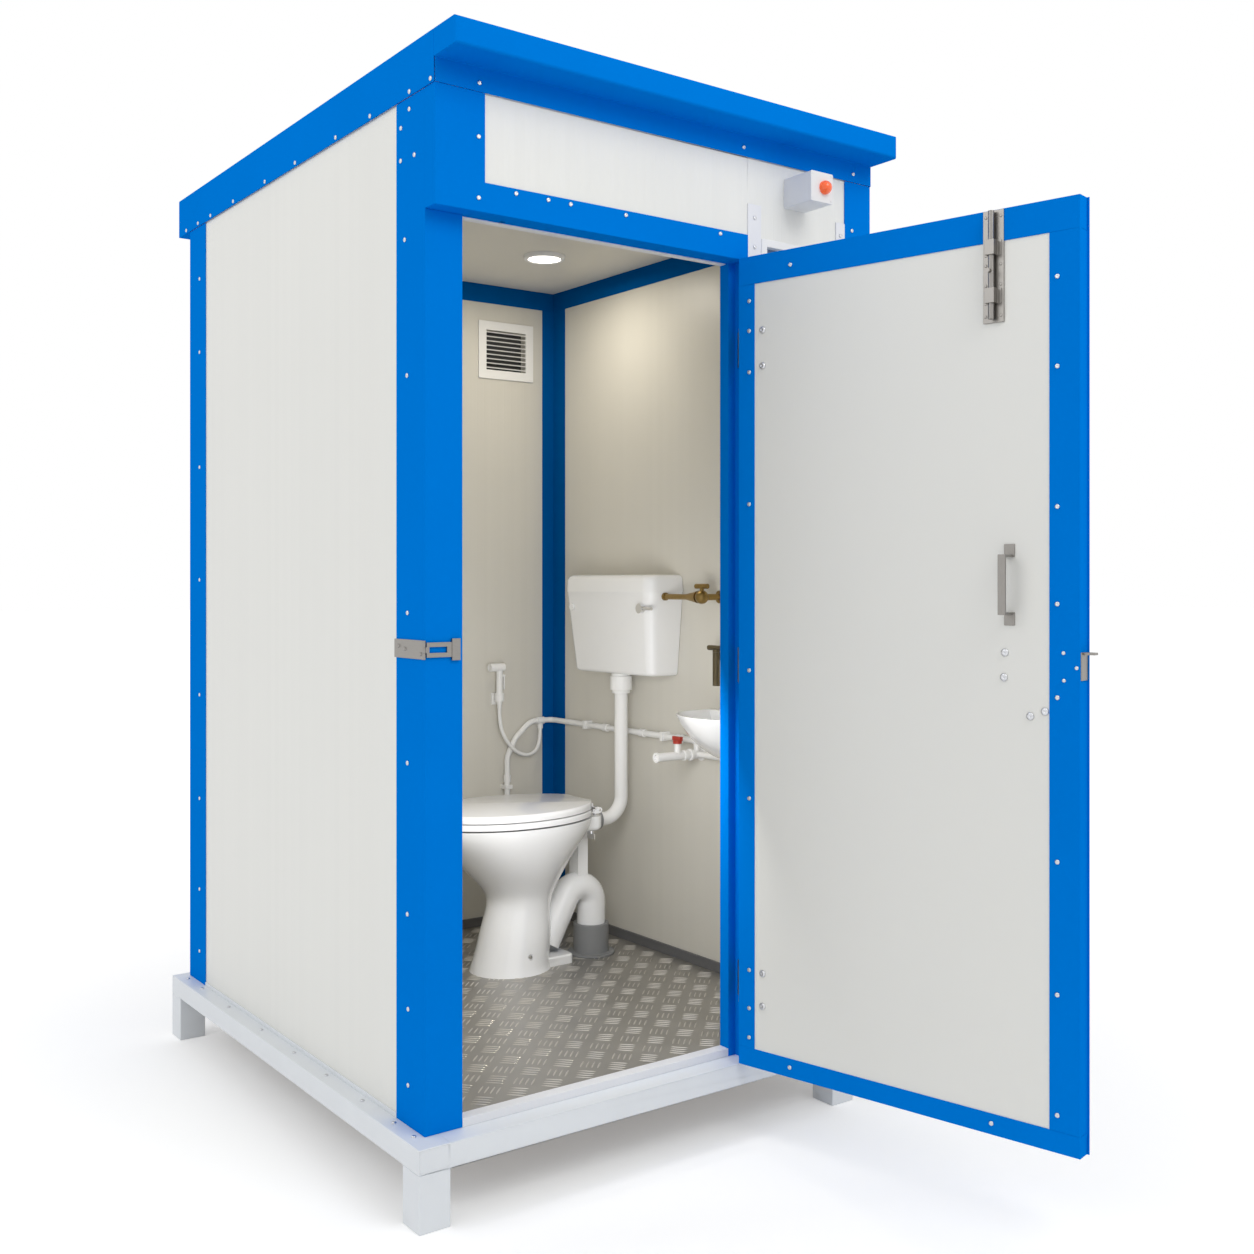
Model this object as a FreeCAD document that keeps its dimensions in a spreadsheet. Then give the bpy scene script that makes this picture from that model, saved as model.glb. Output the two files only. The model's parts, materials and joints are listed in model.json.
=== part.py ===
import FreeCAD, Part
import math
import os
import re

# A portable toilet cabin of sandwich panels on a short-legged base frame, with its door standing open.
# Building frame: X = 0 on the cabin's centre line, Y = 0 at the base frame's front edge, Z = 0 on the ground.
# Each sub-part's Placement carries it from there to the part's frame, whose origin is the middle of the
# whole part's footprint.
document = FreeCAD.newDocument("ToiletCabin")
Vector = FreeCAD.Vector

# Driving sizes in millimetres and degrees: name, value, meaning.
SIZES = [
    ("body_width", 1220, "cabin width over the corner posts"),
    ("body_depth", 1400, "cabin depth from post front to rear post"),
    ("side_ledge", 40, "base frame ledge beside the walls"),
    ("front_ledge", 52, "base frame ledge before the posts"),
    ("rear_ledge", 30, "base frame ledge behind the rear wall"),
    ("leg_side", 70, "side of a square leg"),
    ("leg_height", 116, "leg below the base beams"),
    ("right_leg_inset", 110, "right legs inside the frame's right edge"),
    ("beam_height", 50, "base beam height"),
    ("beam_wide", 70, "base beam width"),
    ("joist_wide", 50, "floor joist width"),
    ("joist_count", 3, "floor joists"),
    ("tube_wall", 4, "wall of the base steel sections"),
    ("board_thick", 12, "floor board"),
    ("tread_thick", 3, "tread plate"),
    ("wall_thick", 30, "side and front sandwich panel"),
    ("rear_thick", 50, "rear sandwich panel"),
    ("board_margin", 18, "rear board beside the grille"),
    ("sheet", 3, "folded steel trim thickness"),
    ("post_side", 125, "corner post face on the side walls"),
    ("post_back", 110, "corner post face on the rear wall"),
    ("post_front", 86, "front corner post face"),
    ("cap_thick", 4, "end cap in a base beam"),
    ("header_step", 42, "front wall and header stand out from the door posts"),
    ("opening_height", 1852, "base top to header underside"),
    ("band_height", 60, "header band"),
    ("upper_height", 180, "front panel over the header band"),
    ("fascia_height", 104, "roof edge height"),
    ("canopy_face", 55, "canopy front face height"),
    ("canopy_reach", 88, "canopy in front of the front wall"),
    ("canopy_round", 7, "rounding of the canopy's front edges"),
    ("rear_overhang", 85, "roof behind the rear wall"),
    ("roof_thick", 40, "roof panel"),
    ("rail_wide", 50, "roof rail width"),
    ("flange", 50, "trim flange on the roof"),
    ("ceiling_drop", 38, "roof edge underside to ceiling"),
    ("ceiling_thick", 30, "ceiling panel"),
    ("stile_wide", 114, "blue stile left of the upper panel"),
    ("opening_right", 183, "door opening's right side from the centre line"),
    ("hinge_post_wide", 80, "hinge post width"),
    ("jamb_depth", 30, "depth of the door opening's jambs"),
    ("pin_x", 201, "hinge pin from the centre line"),
    ("pin_stand", 5, "hinge pin before the front wall's face"),
    ("open_angle", 103, "door at rest, from closed"),
    ("door_gap", 3, "pin to door edge and pin to post limb"),
    ("door_thick", 34, "door thickness"),
    ("door_wide", 804, "door width"),
    ("door_lip", 5, "outer skin past the door's free edge"),
    ("door_top_gap", 4, "door top to header"),
    ("door_low_gap", 4, "door bottom to base frame"),
    ("door_sheet", 2, "door channel thickness"),
    ("hinge_stile", 44, "door stile at the hinges"),
    ("free_stile", 62, "door stile at the free edge"),
    ("top_rail", 64, "door top rail"),
    ("low_rail", 42, "door bottom rail"),
    ("knuckle_round", 5.5, "hinge knuckle radius"),
    ("hinge_pin_round", 3, "hinge pin radius"),
    ("running_gap", 0.08, "radial clearance of turning pins"),
    ("hinge_tall", 82, "hinge height"),
    ("leaf_thick", 2.5, "hinge leaf thickness"),
    ("bolt_plate_thick", 2, "tower bolt plate"),
    ("rod_round", 6, "tower bolt rod radius"),
    ("rod_stand", 10, "tower bolt rod centre over its plate's face"),
    ("bolt_w", 630, "tower bolt from the hinge pin"),
    ("handle_inset", 82, "pull handle from the free stile"),
    ("handle_low", 1187, "pull handle foot height"),
    ("handle_tall", 161, "pull handle length"),
    ("handle_reach", 38, "pull handle stand-off"),
    ("hasp_z", 1137, "hasp centre height"),
    ("hasp_tall", 38, "hasp plate height"),
    ("right_post_face", 88, "right corner post's front face"),
    ("window_wide", 244, "window width"),
    ("window_tall", 300, "window height"),
    ("window_top_drop", 182, "roof edge underside to window top"),
    ("window_border", 18, "window frame border"),
    ("strip_wide", 41, "white strip left of the window"),
    ("strip_narrow", 30, "white strip right of the window"),
    ("strip_tall", 452, "white strip height"),
    ("box_wide", 70, "junction box width"),
    ("box_deep", 93, "junction box depth"),
    ("box_inset", 74, "junction box from the window's left side"),
    ("box_low", 2158, "junction box underside height"),
    ("lens_round", 16, "beacon lens radius"),
    ("vent_inset", 83, "grille from the right wall's inner face"),
    ("vent_wide", 203, "grille width"),
    ("vent_low", 1922, "grille underside height"),
    ("vent_tall", 183, "grille height"),
    ("vent_border", 28, "grille border"),
    ("slat_count", 9, "grille slats"),
    ("slat_thick", 1.6, "grille slat thickness"),
    ("grille_thick", 6, "grille plate thickness"),
    ("light_inset", 315, "ceiling light from the right wall's inner face"),
    ("light_y", 966, "ceiling light behind the base's front edge"),
    ("light_round", 60, "ceiling light radius"),
    ("cornice_tall", 58, "cornice under the ceiling"),
    ("corner_back", 45, "corner trim on the rear wall"),
    ("corner_side", 70, "corner trim on the side wall"),
    ("skirt_tall", 28, "skirting height"),
    ("skirt_thick", 8, "skirting thickness"),
    ("channel_tall", 10, "outer wall base channel height"),
    ("wc_y", 935, "toilet centre line behind the base's front edge"),
    ("pan_gap", 193, "right wall to pan rear"),
    ("pan_length", 514, "pan length"),
    ("pan_width", 360, "pan width"),
    ("rim_height", 419, "pan rim over the floor"),
    ("trap_round", 42, "trap outer radius"),
    ("outlet_gap", 172, "right wall to soil outlet"),
    ("crown_rise", 152, "trap crown axis over the floor"),
    ("collar_tall", 90, "soil collar height"),
    ("seat_thick", 16, "toilet seat thickness"),
    ("seat_gap", 5, "pan rim to seat"),
    ("lid_gap", 3, "seat to lid"),
    ("lid_thick", 19, "toilet lid thickness"),
    ("seat_pin_round", 3.5, "seat hinge pin radius"),
    ("cistern_width", 440, "cistern width"),
    ("cistern_depth", 124, "cistern depth"),
    ("cistern_low", 1000, "cistern underside height"),
    ("cistern_seam", 1243, "cistern body top height"),
    ("cistern_lid_tall", 51, "cistern lid height"),
    ("cistern_taper", 23, "cistern narrows downward at each side"),
    ("cistern_wall", 6, "cistern wall"),
    ("flush_round", 20, "flush pipe radius"),
    ("flush_gap", 62, "right wall to flush pipe axis"),
    ("flush_bend", 62, "flush pipe bend radius"),
    ("spigot_low", 30, "pan rim to flush inlet axis"),
    ("pipe_round", 9, "supply pipe radius"),
    ("pipe_stand", 18, "supply pipe axis from the wall"),
    ("pipe_z", 822, "supply pipe height"),
    ("basin_y", 370, "basin centre behind the base's front edge"),
    ("basin_wide", 330, "basin width"),
    ("basin_reach", 250, "basin projection"),
    ("basin_rim", 922, "basin rim height"),
    ("basin_deep", 125, "basin body height"),
    ("basin_wall", 9, "basin wall thickness"),
    ("bib_y", 630, "bib tap behind the base's front edge"),
    ("bib_z", 785, "bib tap height"),
    ("bib_reach", 165, "bib tap projection"),
    ("spray_inset", 225, "hand spray from the right wall's inner face"),
    ("spray_z", 905, "hand spray holder height"),
    ("hose_round", 6, "hose radius"),
    ("screw_round", 5, "screw head radius"),
    ("screw_tall", 3, "screw head height"),
    ("bolt_round", 8, "door bolt head radius"),
    ("bolt_tall", 5, "door bolt head height"),
    ("shank_round", 3, "door bolt shank radius"),
]

# Places worked out from the sizes.
PLACES = {
    "half": "body_width / 2",
    "wall_out": "half - sheet",
    "wall_in": "wall_out - wall_thick",
    "post_y": "front_ledge",
    "front_y": "front_ledge - header_step",
    "panel_y": "front_y + sheet",
    "panel_in_y": "panel_y + wall_thick",
    "rear_y": "front_ledge + body_depth",
    "rear_out": "rear_y - sheet",
    "rear_in": "rear_out - rear_thick",
    "base_half": "half + side_ledge",
    "base_end": "rear_y + rear_ledge",
    "base_top": "leg_height + beam_height",
    "board_top": "base_top + board_thick",
    "floor": "board_top + tread_thick",
    "head_low": "base_top + opening_height",
    "band_top": "head_low + band_height",
    "eave": "band_top + upper_height",
    "roof_top": "eave + fascia_height",
    "canopy_low": "roof_top - canopy_face",
    "canopy_y": "front_y - canopy_reach",
    "deck_top": "roof_top - sheet",
    "deck_low": "deck_top - roof_thick",
    "roof_half": "half + sheet",
    "roof_end": "rear_y + rear_overhang",
    "ceiling": "eave - ceiling_drop",
    "opening_left": "post_front - half",
    "jamb_y": "post_y + jamb_depth",
    "limb_x": "pin_x + door_gap",
    "seam_x": "limb_x + sheet",
    "pin_y": "front_y - pin_stand",
    "door_face": "pin_stand",
    "door_back": "pin_stand + door_thick",
    "door_near": "door_gap",
    "door_far": "door_gap + door_wide",
    "door_low": "base_top + door_low_gap",
    "door_top": "head_low - door_top_gap",
    "door_tall": "door_top - door_low",
    "free_edge": "door_far - free_stile",
    "handle_w": "free_edge - handle_inset",
    "panel_low_z": "door_low + low_rail",
    "panel_top_z": "door_top - top_rail",
    "hasp_pin_x": "-half - 3.5",
    "hasp_pin_y": "post_y - 3.5",
    "tongue_far": "door_far + 25",
    "tongue_deep": "door_back - 9",
    "pan_rear": "wall_in - pan_gap",
    "pan_front": "pan_rear - pan_length",
    "pan_mid": "pan_rear - pan_length / 2",
    "rim": "floor + rim_height",
    "outlet_x": "wall_in - outlet_gap",
    "seat_low": "rim + seat_gap",
    "seat_top": "seat_low + seat_thick",
    "lid_low": "seat_top + lid_gap",
    "lid_top": "lid_low + lid_thick",
    "seat_pin_x": "pan_rear - 13",
    "seat_pin_z": "seat_low + seat_thick * 0.7",
    "seat_rear": "seat_pin_x - 12",
    "cistern_x": "wall_in - cistern_depth",
    "cistern_top": "cistern_seam + cistern_lid_tall",
    "flush_x": "wall_in - flush_gap",
    "flush_z": "rim - spigot_low",
    "window_top": "eave - window_top_drop",
    "window_low": "window_top - window_tall",
    "window_right": "half - right_post_face - strip_narrow",
    "window_left": "window_right - window_wide",
    "box_left": "window_left + box_inset",
    "vent_left": "wall_in - vent_inset - vent_wide",
    "light_x": "wall_in - light_inset",
    "spray_x": "wall_in - spray_inset",
    "strip_low": "(window_low + window_top - strip_tall) / 2",
    "foremost": "pin_y - tongue_far * sin(open_angle) + tongue_deep * cos(open_angle)",
    "centre_y": "(foremost + roof_end) / 2",
}

sheet = document.addObject("Spreadsheet::Sheet", "Sizes")
for row, (name, amount, meaning) in enumerate(SIZES, start=1):
    sheet.set(f"A{row}", str(amount))
    sheet.setAlias(f"A{row}", name)
    sheet.set(f"B{row}", meaning)
document.recompute()
SIZE_NAMES = {name for name, amount, meaning in SIZES}
SLAT_TILT = 34
NODES = []


def expand(text):
    """A size expression in plain names, written as the document reads it."""
    def swap(found):
        word = found.group(0)
        if word in PLACES:
            return "(" + expand(PLACES[word]) + ")"
        if word in SIZE_NAMES:
            return "Sizes." + word
        return word
    return re.sub(r"[A-Za-z_]\w*", swap, str(text))


def value(text):
    """The number that a size expression gives."""
    return float(sheet.evalExpression(expand(text)))


def bind(thing, prop, text):
    thing.setExpression(prop, expand(text))


def place(thing, x="0", y="0", z="0", rotation=None):
    """Bind a piece's base point to size expressions, keeping its rotation."""
    if rotation is not None:
        thing.Placement = FreeCAD.Placement(Vector(), rotation)
    for letter, text in (("x", x), ("y", y), ("z", z)):
        bind(thing, ".Placement.Base." + letter, text)
    return thing


def block(x0, x1, y0, y1, z0, z1):
    """A box between two corners given as size expressions."""
    box = document.addObject("Part::Box", "Block")
    bind(box, "Length", f"({x1}) - ({x0})")
    bind(box, "Width", f"({y1}) - ({y0})")
    bind(box, "Height", f"({z1}) - ({z0})")
    return place(box, x0, y0, z0)


TURNS = {
    "+Z": FreeCAD.Rotation(),
    "-Z": FreeCAD.Rotation(Vector(1, 0, 0), 180),
    "+X": FreeCAD.Rotation(Vector(0, 1, 0), 90),
    "-X": FreeCAD.Rotation(Vector(0, 1, 0), -90),
    "+Y": FreeCAD.Rotation(Vector(1, 0, 0), -90),
    "-Y": FreeCAD.Rotation(Vector(1, 0, 0), 90),
}


def rod(way, x, y, z, radius, length):
    """A cylinder that starts at a point and runs the given way."""
    cylinder = document.addObject("Part::Cylinder", "Rod")
    bind(cylinder, "Radius", radius)
    bind(cylinder, "Height", length)
    return place(cylinder, x, y, z, TURNS[way])


def cone(way, x, y, z, radius, end_radius, length):
    shape = document.addObject("Part::Cone", "Cone")
    bind(shape, "Radius1", radius)
    bind(shape, "Radius2", end_radius)
    bind(shape, "Height", length)
    return place(shape, x, y, z, TURNS[way])


def ball(x, y, z, radius):
    sphere = document.addObject("Part::Sphere", "Ball")
    bind(sphere, "Radius", radius)
    return place(sphere, x, y, z)


def fuse(*pieces):
    joined = document.addObject("Part::MultiFuse", "Joined")
    joined.Shapes = list(pieces)
    joined.Refine = True
    return joined


def cut(base, *tools):
    """The base with the tools taken out of it."""
    result = document.addObject("Part::Cut", "Cut")
    result.Base = base
    result.Tool = tools[0] if len(tools) == 1 else fuse(*tools)
    result.Refine = True
    return result


def rounded(thing, radius, wanted):
    """Fillet the edges that a test on their middle point and direction picks."""
    document.recompute()
    fillet = document.addObject("Part::Fillet", "Rounded")
    fillet.Base = thing
    picked = []
    for number, edge in enumerate(thing.Shape.Edges, start=1):
        middle = edge.valueAt((edge.FirstParameter + edge.LastParameter) / 2)
        along = edge.tangentAt((edge.FirstParameter + edge.LastParameter) / 2)
        if wanted(middle, along):
            picked.append((number, radius, radius))
    fillet.Edges = picked
    return fillet


def solid(shape):
    """A shape made with the kernel's own functions, as an object of the document."""
    feature = document.addObject("Part::Feature", "Solid")
    feature.Shape = shape
    return feature


def ring(way, x, y, z, radius, bore, length):
    return cut(rod(way, x, y, z, radius, length), rod(way, x, y, z, bore, length))


def screw(way, x, y, z, radius="screw_round", tall="screw_tall"):
    """A pan-head screw standing on a face."""
    return cone(way, x, y, z, radius, f"({radius}) * 0.72", tall)


def node(label, pieces, ride=None):
    """Gather a sub-part's pieces under its label and seat it in the part's frame."""
    group = document.addObject("Part::Compound", label)
    group.Label = label
    group.Links = list(pieces)
    if ride == "door":
        group.Placement = FreeCAD.Placement(Vector(), FreeCAD.Rotation(Vector(0, 0, 1), 1))
        bind(group, ".Placement.Rotation.Angle", "open_angle")
        place(group, "pin_x", "pin_y - centre_y", "0")
    else:
        place(group, "0", "0 - centre_y", "0")
    NODES.append(group)


def side_block(sign, inner, outer, y0, y1, z0, z1):
    """A box on the left (-1) or right (1) side between two distances from the centre line."""
    if sign == "-1":
        return block(f"-({outer})", f"-({inner})", y0, y1, z0, z1)
    return block(inner, outer, y0, y1, z0, z1)


def square_tube(x0, x1, y0, y1, z0, z1, along, wall="tube_wall"):
    """An open-ended square section along one axis."""
    inside = {
        "X": (x0, x1, f"{y0} + {wall}", f"{y1} - {wall}", f"{z0} + {wall}", f"{z1} - {wall}"),
        "Y": (f"{x0} + {wall}", f"{x1} - {wall}", y0, y1, f"{z0} + {wall}", f"{z1} - {wall}"),
        "Z": (f"{x0} + {wall}", f"{x1} - {wall}", f"{y0} + {wall}", f"{y1} - {wall}", z0, z1),
    }[along]
    return cut(block(x0, x1, y0, y1, z0, z1), block(*inside))


def pipe_path(points, share=0.45):
    """Straight runs joined by tangent arcs, each as large as its two runs allow; returns edges and radii."""
    edges, radii = [], []
    start = points[0]
    for before, corner, after in zip(points, points[1:], points[2:]):
        arrive = (corner - before).normalize()
        leave = (after - corner).normalize()
        half_turn = arrive.getAngle(leave) / 2
        trim = share * min((corner - before).Length, (after - corner).Length)
        radii.append(trim / math.tan(half_turn))
        first = corner - arrive * trim
        last = corner + leave * trim
        bisector = (leave - arrive).normalize()
        centre = corner + bisector * (radii[-1] / math.cos(half_turn))
        middle = centre - bisector * radii[-1]
        edges.append(Part.LineSegment(start, first).toShape())
        edges.append(Part.Arc(first, middle, last).toShape())
        start = last
    edges.append(Part.LineSegment(start, points[-1]).toShape())
    return edges, radii


def swept_tube(edges, radius, bore=0):
    """A round tube along a path of edges."""
    path = Part.Wire(edges)
    start = edges[0].valueAt(edges[0].FirstParameter)
    heading = edges[0].tangentAt(edges[0].FirstParameter)
    outer = path.makePipeShell([Part.Wire(Part.makeCircle(radius, start, heading))], True, False)
    if not bore:
        return outer
    inner = path.makePipeShell([Part.Wire(Part.makeCircle(bore, start, heading))], True, False)
    return outer.cut(inner)


def base_frame():
    """Perimeter beams with end caps, joists and legs."""
    beams, caps = [], []
    for sign in ("-1", "1"):
        inner, outer = "base_half - beam_wide", "base_half"
        x0, x1 = (f"-({outer})", f"-({inner})") if sign == "-1" else (inner, outer)
        beams.append(square_tube(x0, x1, "0", "base_end", "leg_height", "base_top", "Y"))
        for near, far in (("0", "cap_thick"), ("base_end - cap_thick", "base_end")):
            caps.append(block(f"{x0} + tube_wall", f"{x1} - tube_wall", near, far, "leg_height + tube_wall",
                              "base_top - tube_wall"))
    inside = ("beam_wide - base_half", "base_half - beam_wide")
    beams.append(square_tube(*inside, "0", "beam_wide", "leg_height", "base_top", "X"))
    beams.append(square_tube(*inside, "base_end - beam_wide", "base_end", "leg_height", "base_top", "X"))
    for number in range(int(value("joist_count"))):
        middle = f"base_end * {number + 1} / (joist_count + 1)"
        beams.append(square_tube(*inside, f"{middle} - joist_wide / 2", f"{middle} + joist_wide / 2",
                                 "leg_height", "base_top", "X"))
    node("base_frame_beams", beams + caps)

    legs = []
    for x0 in ("-(base_half)", "base_half - right_leg_inset - leg_side"):
        for y0 in ("0", "base_end - leg_side"):
            x1, y1 = f"{x0} + leg_side", f"{y0} + leg_side"
            hollow = block(f"{x0} + tube_wall", f"{x1} - tube_wall", f"{y0} + tube_wall",
                           f"{y1} - tube_wall", "tube_wall", "leg_height")
            legs.append(cut(block(x0, x1, y0, y1, "0", "leg_height"), hollow))
    node("base_legs", legs)


def floor_outline(low, high):
    """A floor layer that fills the room and runs into the door opening up to the threshold."""
    room = block("-(wall_in)", "wall_in", "jamb_y", "rear_in", low, high)
    doorway = block("opening_left", "opening_right", "post_y + sheet", "jamb_y", low, high)
    beside = block("opening_right + hinge_post_wide", "wall_in", "panel_in_y", "jamb_y", low, high)
    return fuse(room, doorway, beside)


def floor_parts():
    node("floor_board", [floor_outline("base_top", "board_top")])
    node("floor_tread_plate", [floor_outline("board_top", "floor")])
    skirts = [side_block(sign, "wall_in - skirt_thick", "wall_in", "jamb_y", "rear_in", "floor",
                         "floor + skirt_tall") for sign in ("-1", "1")]
    skirts.append(block("skirt_thick - wall_in", "wall_in - skirt_thick", "rear_in - skirt_thick", "rear_in",
                        "floor", "floor + skirt_tall"))
    node("interior_skirting", skirts)
    channels = [side_block(sign, "wall_out", "half", "post_y + post_side", "rear_y - post_side",
                           "base_top", "base_top + channel_tall") for sign in ("-1", "1")]
    channels.append(block("post_back - half", "half - post_back", "rear_out", "rear_y",
                          "base_top", "base_top + channel_tall"))
    node("wall_base_channels", channels)


def posts():
    """Folded corner posts and the hinge post."""
    pieces = []
    for sign in ("-1", "1"):
        side = side_block(sign, "wall_out", "half", "rear_y - post_side", "rear_y", "base_top", "eave")
        back = side_block(sign, "half - post_back", "half", "rear_out", "rear_y", "base_top", "eave")
        pieces.append(fuse(side, back))
    side = block("-(half)", "-(wall_out)", "post_y", "post_y + post_side", "base_top", "eave")
    front = block("-(half)", "opening_left", "post_y", "post_y + sheet", "base_top", "head_low")
    inward = block("opening_left - sheet", "opening_left", "post_y", "jamb_y", "base_top", "head_low")
    pieces.append(fuse(side, front, inward))
    side = block("wall_out", "half", "front_y", "post_y + post_side", "base_top", "eave")
    front = block("half - right_post_face", "half", "front_y", "panel_y", "base_top", "eave")
    pieces.append(fuse(side, front))
    node("corner_posts", pieces)

    tube = square_tube("opening_right", "opening_right + hinge_post_wide", "post_y", "jamb_y",
                       "base_top", "head_low", "Z", "sheet")
    limb = block("limb_x", "seam_x", "front_y", "post_y", "base_top", "band_top")
    node("hinge_post", [fuse(tube, limb)])


def header():
    """Folded cover of the band over the door, its lining strip with the bolt's hole, and the left stile."""
    band = cut(block("-(wall_out)", "limb_x", "front_y", "jamb_y", "head_low", "band_top"),
               block("-(wall_out) - 1", "limb_x + 1", "front_y + sheet", "jamb_y - sheet", "head_low - 1",
                     "band_top - sheet"))
    strip = block("-(wall_out)", "limb_x", "front_y + sheet", "jamb_y - sheet", "head_low",
                  "head_low + sheet")
    hole = rod("+Z", "pin_x - bolt_w", "pin_y + door_back + bolt_plate_thick + rod_stand", "head_low - 1",
               "rod_round + 1", "sheet + 2")
    stile = block("-(half)", "stile_wide - half", "front_y", "panel_y", "band_top", "eave")
    cheek = block("-(half)", "-(wall_out)", "front_y", "post_y", "head_low", "eave")
    node("header_frame", [band, cut(strip, hole), fuse(stile, cheek)])


def walls():
    """Sandwich panels, each board butted to the next."""
    boards = []
    joints = ["0", "245", "490", "819", "1054"]
    for sign in ("-1", "1"):
        start = "jamb_y" if sign == "-1" else "panel_in_y"
        limits = [start] + [f"post_y + {step}" for step in joints[1:]] + ["rear_out"]
        for near, far in zip(limits, limits[1:]):
            boards.append(side_block(sign, "wall_in", "wall_out", near, far, "base_top", "eave"))
    boards.append(block("-(wall_out)", "-(wall_in)", "panel_in_y", "jamb_y", "band_top", "eave"))
    node("side_wall_panels", boards)

    duct = block("vent_left + vent_border", "vent_left + vent_wide - vent_border", "rear_in - 1",
                 "rear_out + 1", "vent_low + vent_border", "vent_low + vent_tall - vent_border")
    seams = ["-(wall_in)", "-(wall_in) / 2", "0", "vent_left - board_margin",
             "vent_left + vent_wide + board_margin", "wall_in"]
    boards = [block(near, far, "rear_in", "rear_out", "base_top", "eave")
              for near, far in zip(seams, seams[1:])]
    node("rear_wall_panel", boards[:3] + [cut(boards[3], duct)] + boards[4:])

    upper = block("-(wall_out)", "seam_x", "panel_y", "panel_in_y", "band_top", "eave")
    right = block("seam_x", "wall_out", "panel_y", "panel_in_y", "base_top", "eave")
    window = block("window_left", "window_right", "panel_y - 1", "panel_in_y + 1", "window_low", "window_top")
    jamb = block("-(wall_out)", "opening_left - sheet", "post_y + sheet", "jamb_y", "base_top", "head_low")
    node("front_panels", [upper, cut(right, window), jamb])


def white_trims():
    threshold = fuse(block("opening_left", "opening_right", "post_y", "post_y + sheet", "base_top",
                           "floor + sheet"),
                     block("opening_left", "opening_right", "post_y", "jamb_y", "floor", "floor + sheet"))
    head = block("opening_left", "opening_right", "jamb_y - 20", "jamb_y", "head_low - sheet", "head_low")
    left = block("window_left - strip_wide", "window_left", "front_y", "panel_y", "strip_low",
                 "strip_low + strip_tall")
    right = block("window_right", "window_right + strip_narrow", "front_y", "panel_y", "strip_low",
                  "strip_low + strip_tall")
    node("white_trim_strips", [threshold, head, left, right])


def roof():
    """Ceiling, rails, roof panel, edge trims and canopy."""
    node("ceiling_panel", [block("-(wall_in)", "wall_in", "panel_in_y", "rear_in", "ceiling",
                                 "ceiling + ceiling_thick")])
    rails = [side_block(sign, "wall_out - rail_wide", "wall_out", "panel_y", "rear_out", "eave", "deck_low")
             for sign in ("-1", "1")]
    across = ("rail_wide - wall_out", "wall_out - rail_wide")
    rails.append(block(*across, "panel_y", "panel_y + rail_wide", "eave", "deck_low"))
    rails.append(block(*across, "rear_out - rail_wide", "rear_out", "eave", "deck_low"))
    deck = block("-(half)", "half", "front_y", "roof_end - sheet", "deck_low", "deck_top")
    node("roof_deck", [deck] + rails)

    trims = []
    for sign in ("-1", "1"):
        face = side_block(sign, "half", "roof_half", "front_y", "roof_end", "eave", "roof_top")
        top = side_block(sign, "roof_half - flange", "roof_half", "front_y", "roof_end - sheet",
                         "deck_top", "roof_top")
        trims.append(fuse(face, top))
    rear = block("-(half)", "half", "roof_end - sheet", "roof_end", "eave", "roof_top")
    rear_top = block("flange - roof_half", "roof_half - flange", "roof_end - flange", "roof_end",
                     "deck_top", "roof_top")
    soffit = block("-(half)", "half", "rear_y", "roof_end", "eave", "eave + sheet")
    trims.append(fuse(rear, rear_top, soffit))
    node("roof_edge_trims", trims)

    outer = block("-(roof_half)", "roof_half", "canopy_y", "front_y", "canopy_low", "roof_top")
    front = value("canopy_y")
    shell = rounded(outer, value("canopy_round"), lambda middle, along: middle.y < front + 1)
    hollow = block("sheet - roof_half", "roof_half - sheet", "canopy_y + sheet", "front_y + 1",
                   "canopy_low + sheet", "roof_top - sheet")
    fascia = block("-(half)", "half", "front_y - sheet", "front_y", "eave", "canopy_low")
    top = block("flange - roof_half", "roof_half - flange", "front_y", "front_y + flange", "deck_top",
                "roof_top")
    node("front_canopy", [fuse(cut(shell, hollow), fascia), top])


def inside_trims():
    """Cornice under the ceiling and the corner angles."""
    low = "ceiling - cornice_tall"
    pieces = [side_block(sign, "wall_in - sheet", "wall_in", "panel_in_y", "rear_in", low, "ceiling")
              for sign in ("-1", "1")]
    pieces.append(block("sheet - wall_in", "wall_in - sheet", "rear_in - sheet", "rear_in", low, "ceiling"))
    for sign in ("-1", "1"):
        foot = "floor + skirt_tall"
        back = side_block(sign, "wall_in - corner_back", "wall_in", "rear_in - sheet", "rear_in", foot, low)
        side = side_block(sign, "wall_in - sheet", "wall_in", "rear_in - corner_side", "rear_in", foot, low)
        pieces.append(fuse(back, side))
    node("interior_blue_trims", pieces)


# Screw places as shares of the span that they stand on, from its front or its foot.
LEDGE_SHARES = (0.046, 0.105, 0.205, 0.331, 0.454, 0.592, 0.744, 0.880, 0.958)
EAVE_SHARES = (0.0072, 0.066, 0.185, 0.299, 0.449, 0.573, 0.716, 0.828, 0.893, 0.957)
SIDE_POST_SHARES = ((0.520, 0.988), (0.816, 0.974), (0.344, 0.941), (0.824, 0.942), (0.680, 0.863),
                    (0.600, 0.730), (0.584, 0.499), (0.584, 0.353), (0.584, 0.206), (0.560, 0.114),
                    (0.560, 0.040))
REAR_POST_SHARES = (0.930, 0.833, 0.681, 0.532, 0.380, 0.243, 0.123, 0.041)
FRONT_POST_SHARES = (0.943, 0.795, 0.638, 0.475, 0.313, 0.150, 0.031)
BAND_SHARES = (0.143, 0.254, 0.333, 0.537, 0.915)
STRIP_SHARES = (0.93, 0.78, 0.45, 0.12)


def both_sides(heads, face, along, height):
    """The same screw on the left and the right face of the cabin."""
    heads.append(screw("-X", f"-({face})", along, height))
    heads.append(screw("+X", face, along, height))


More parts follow.
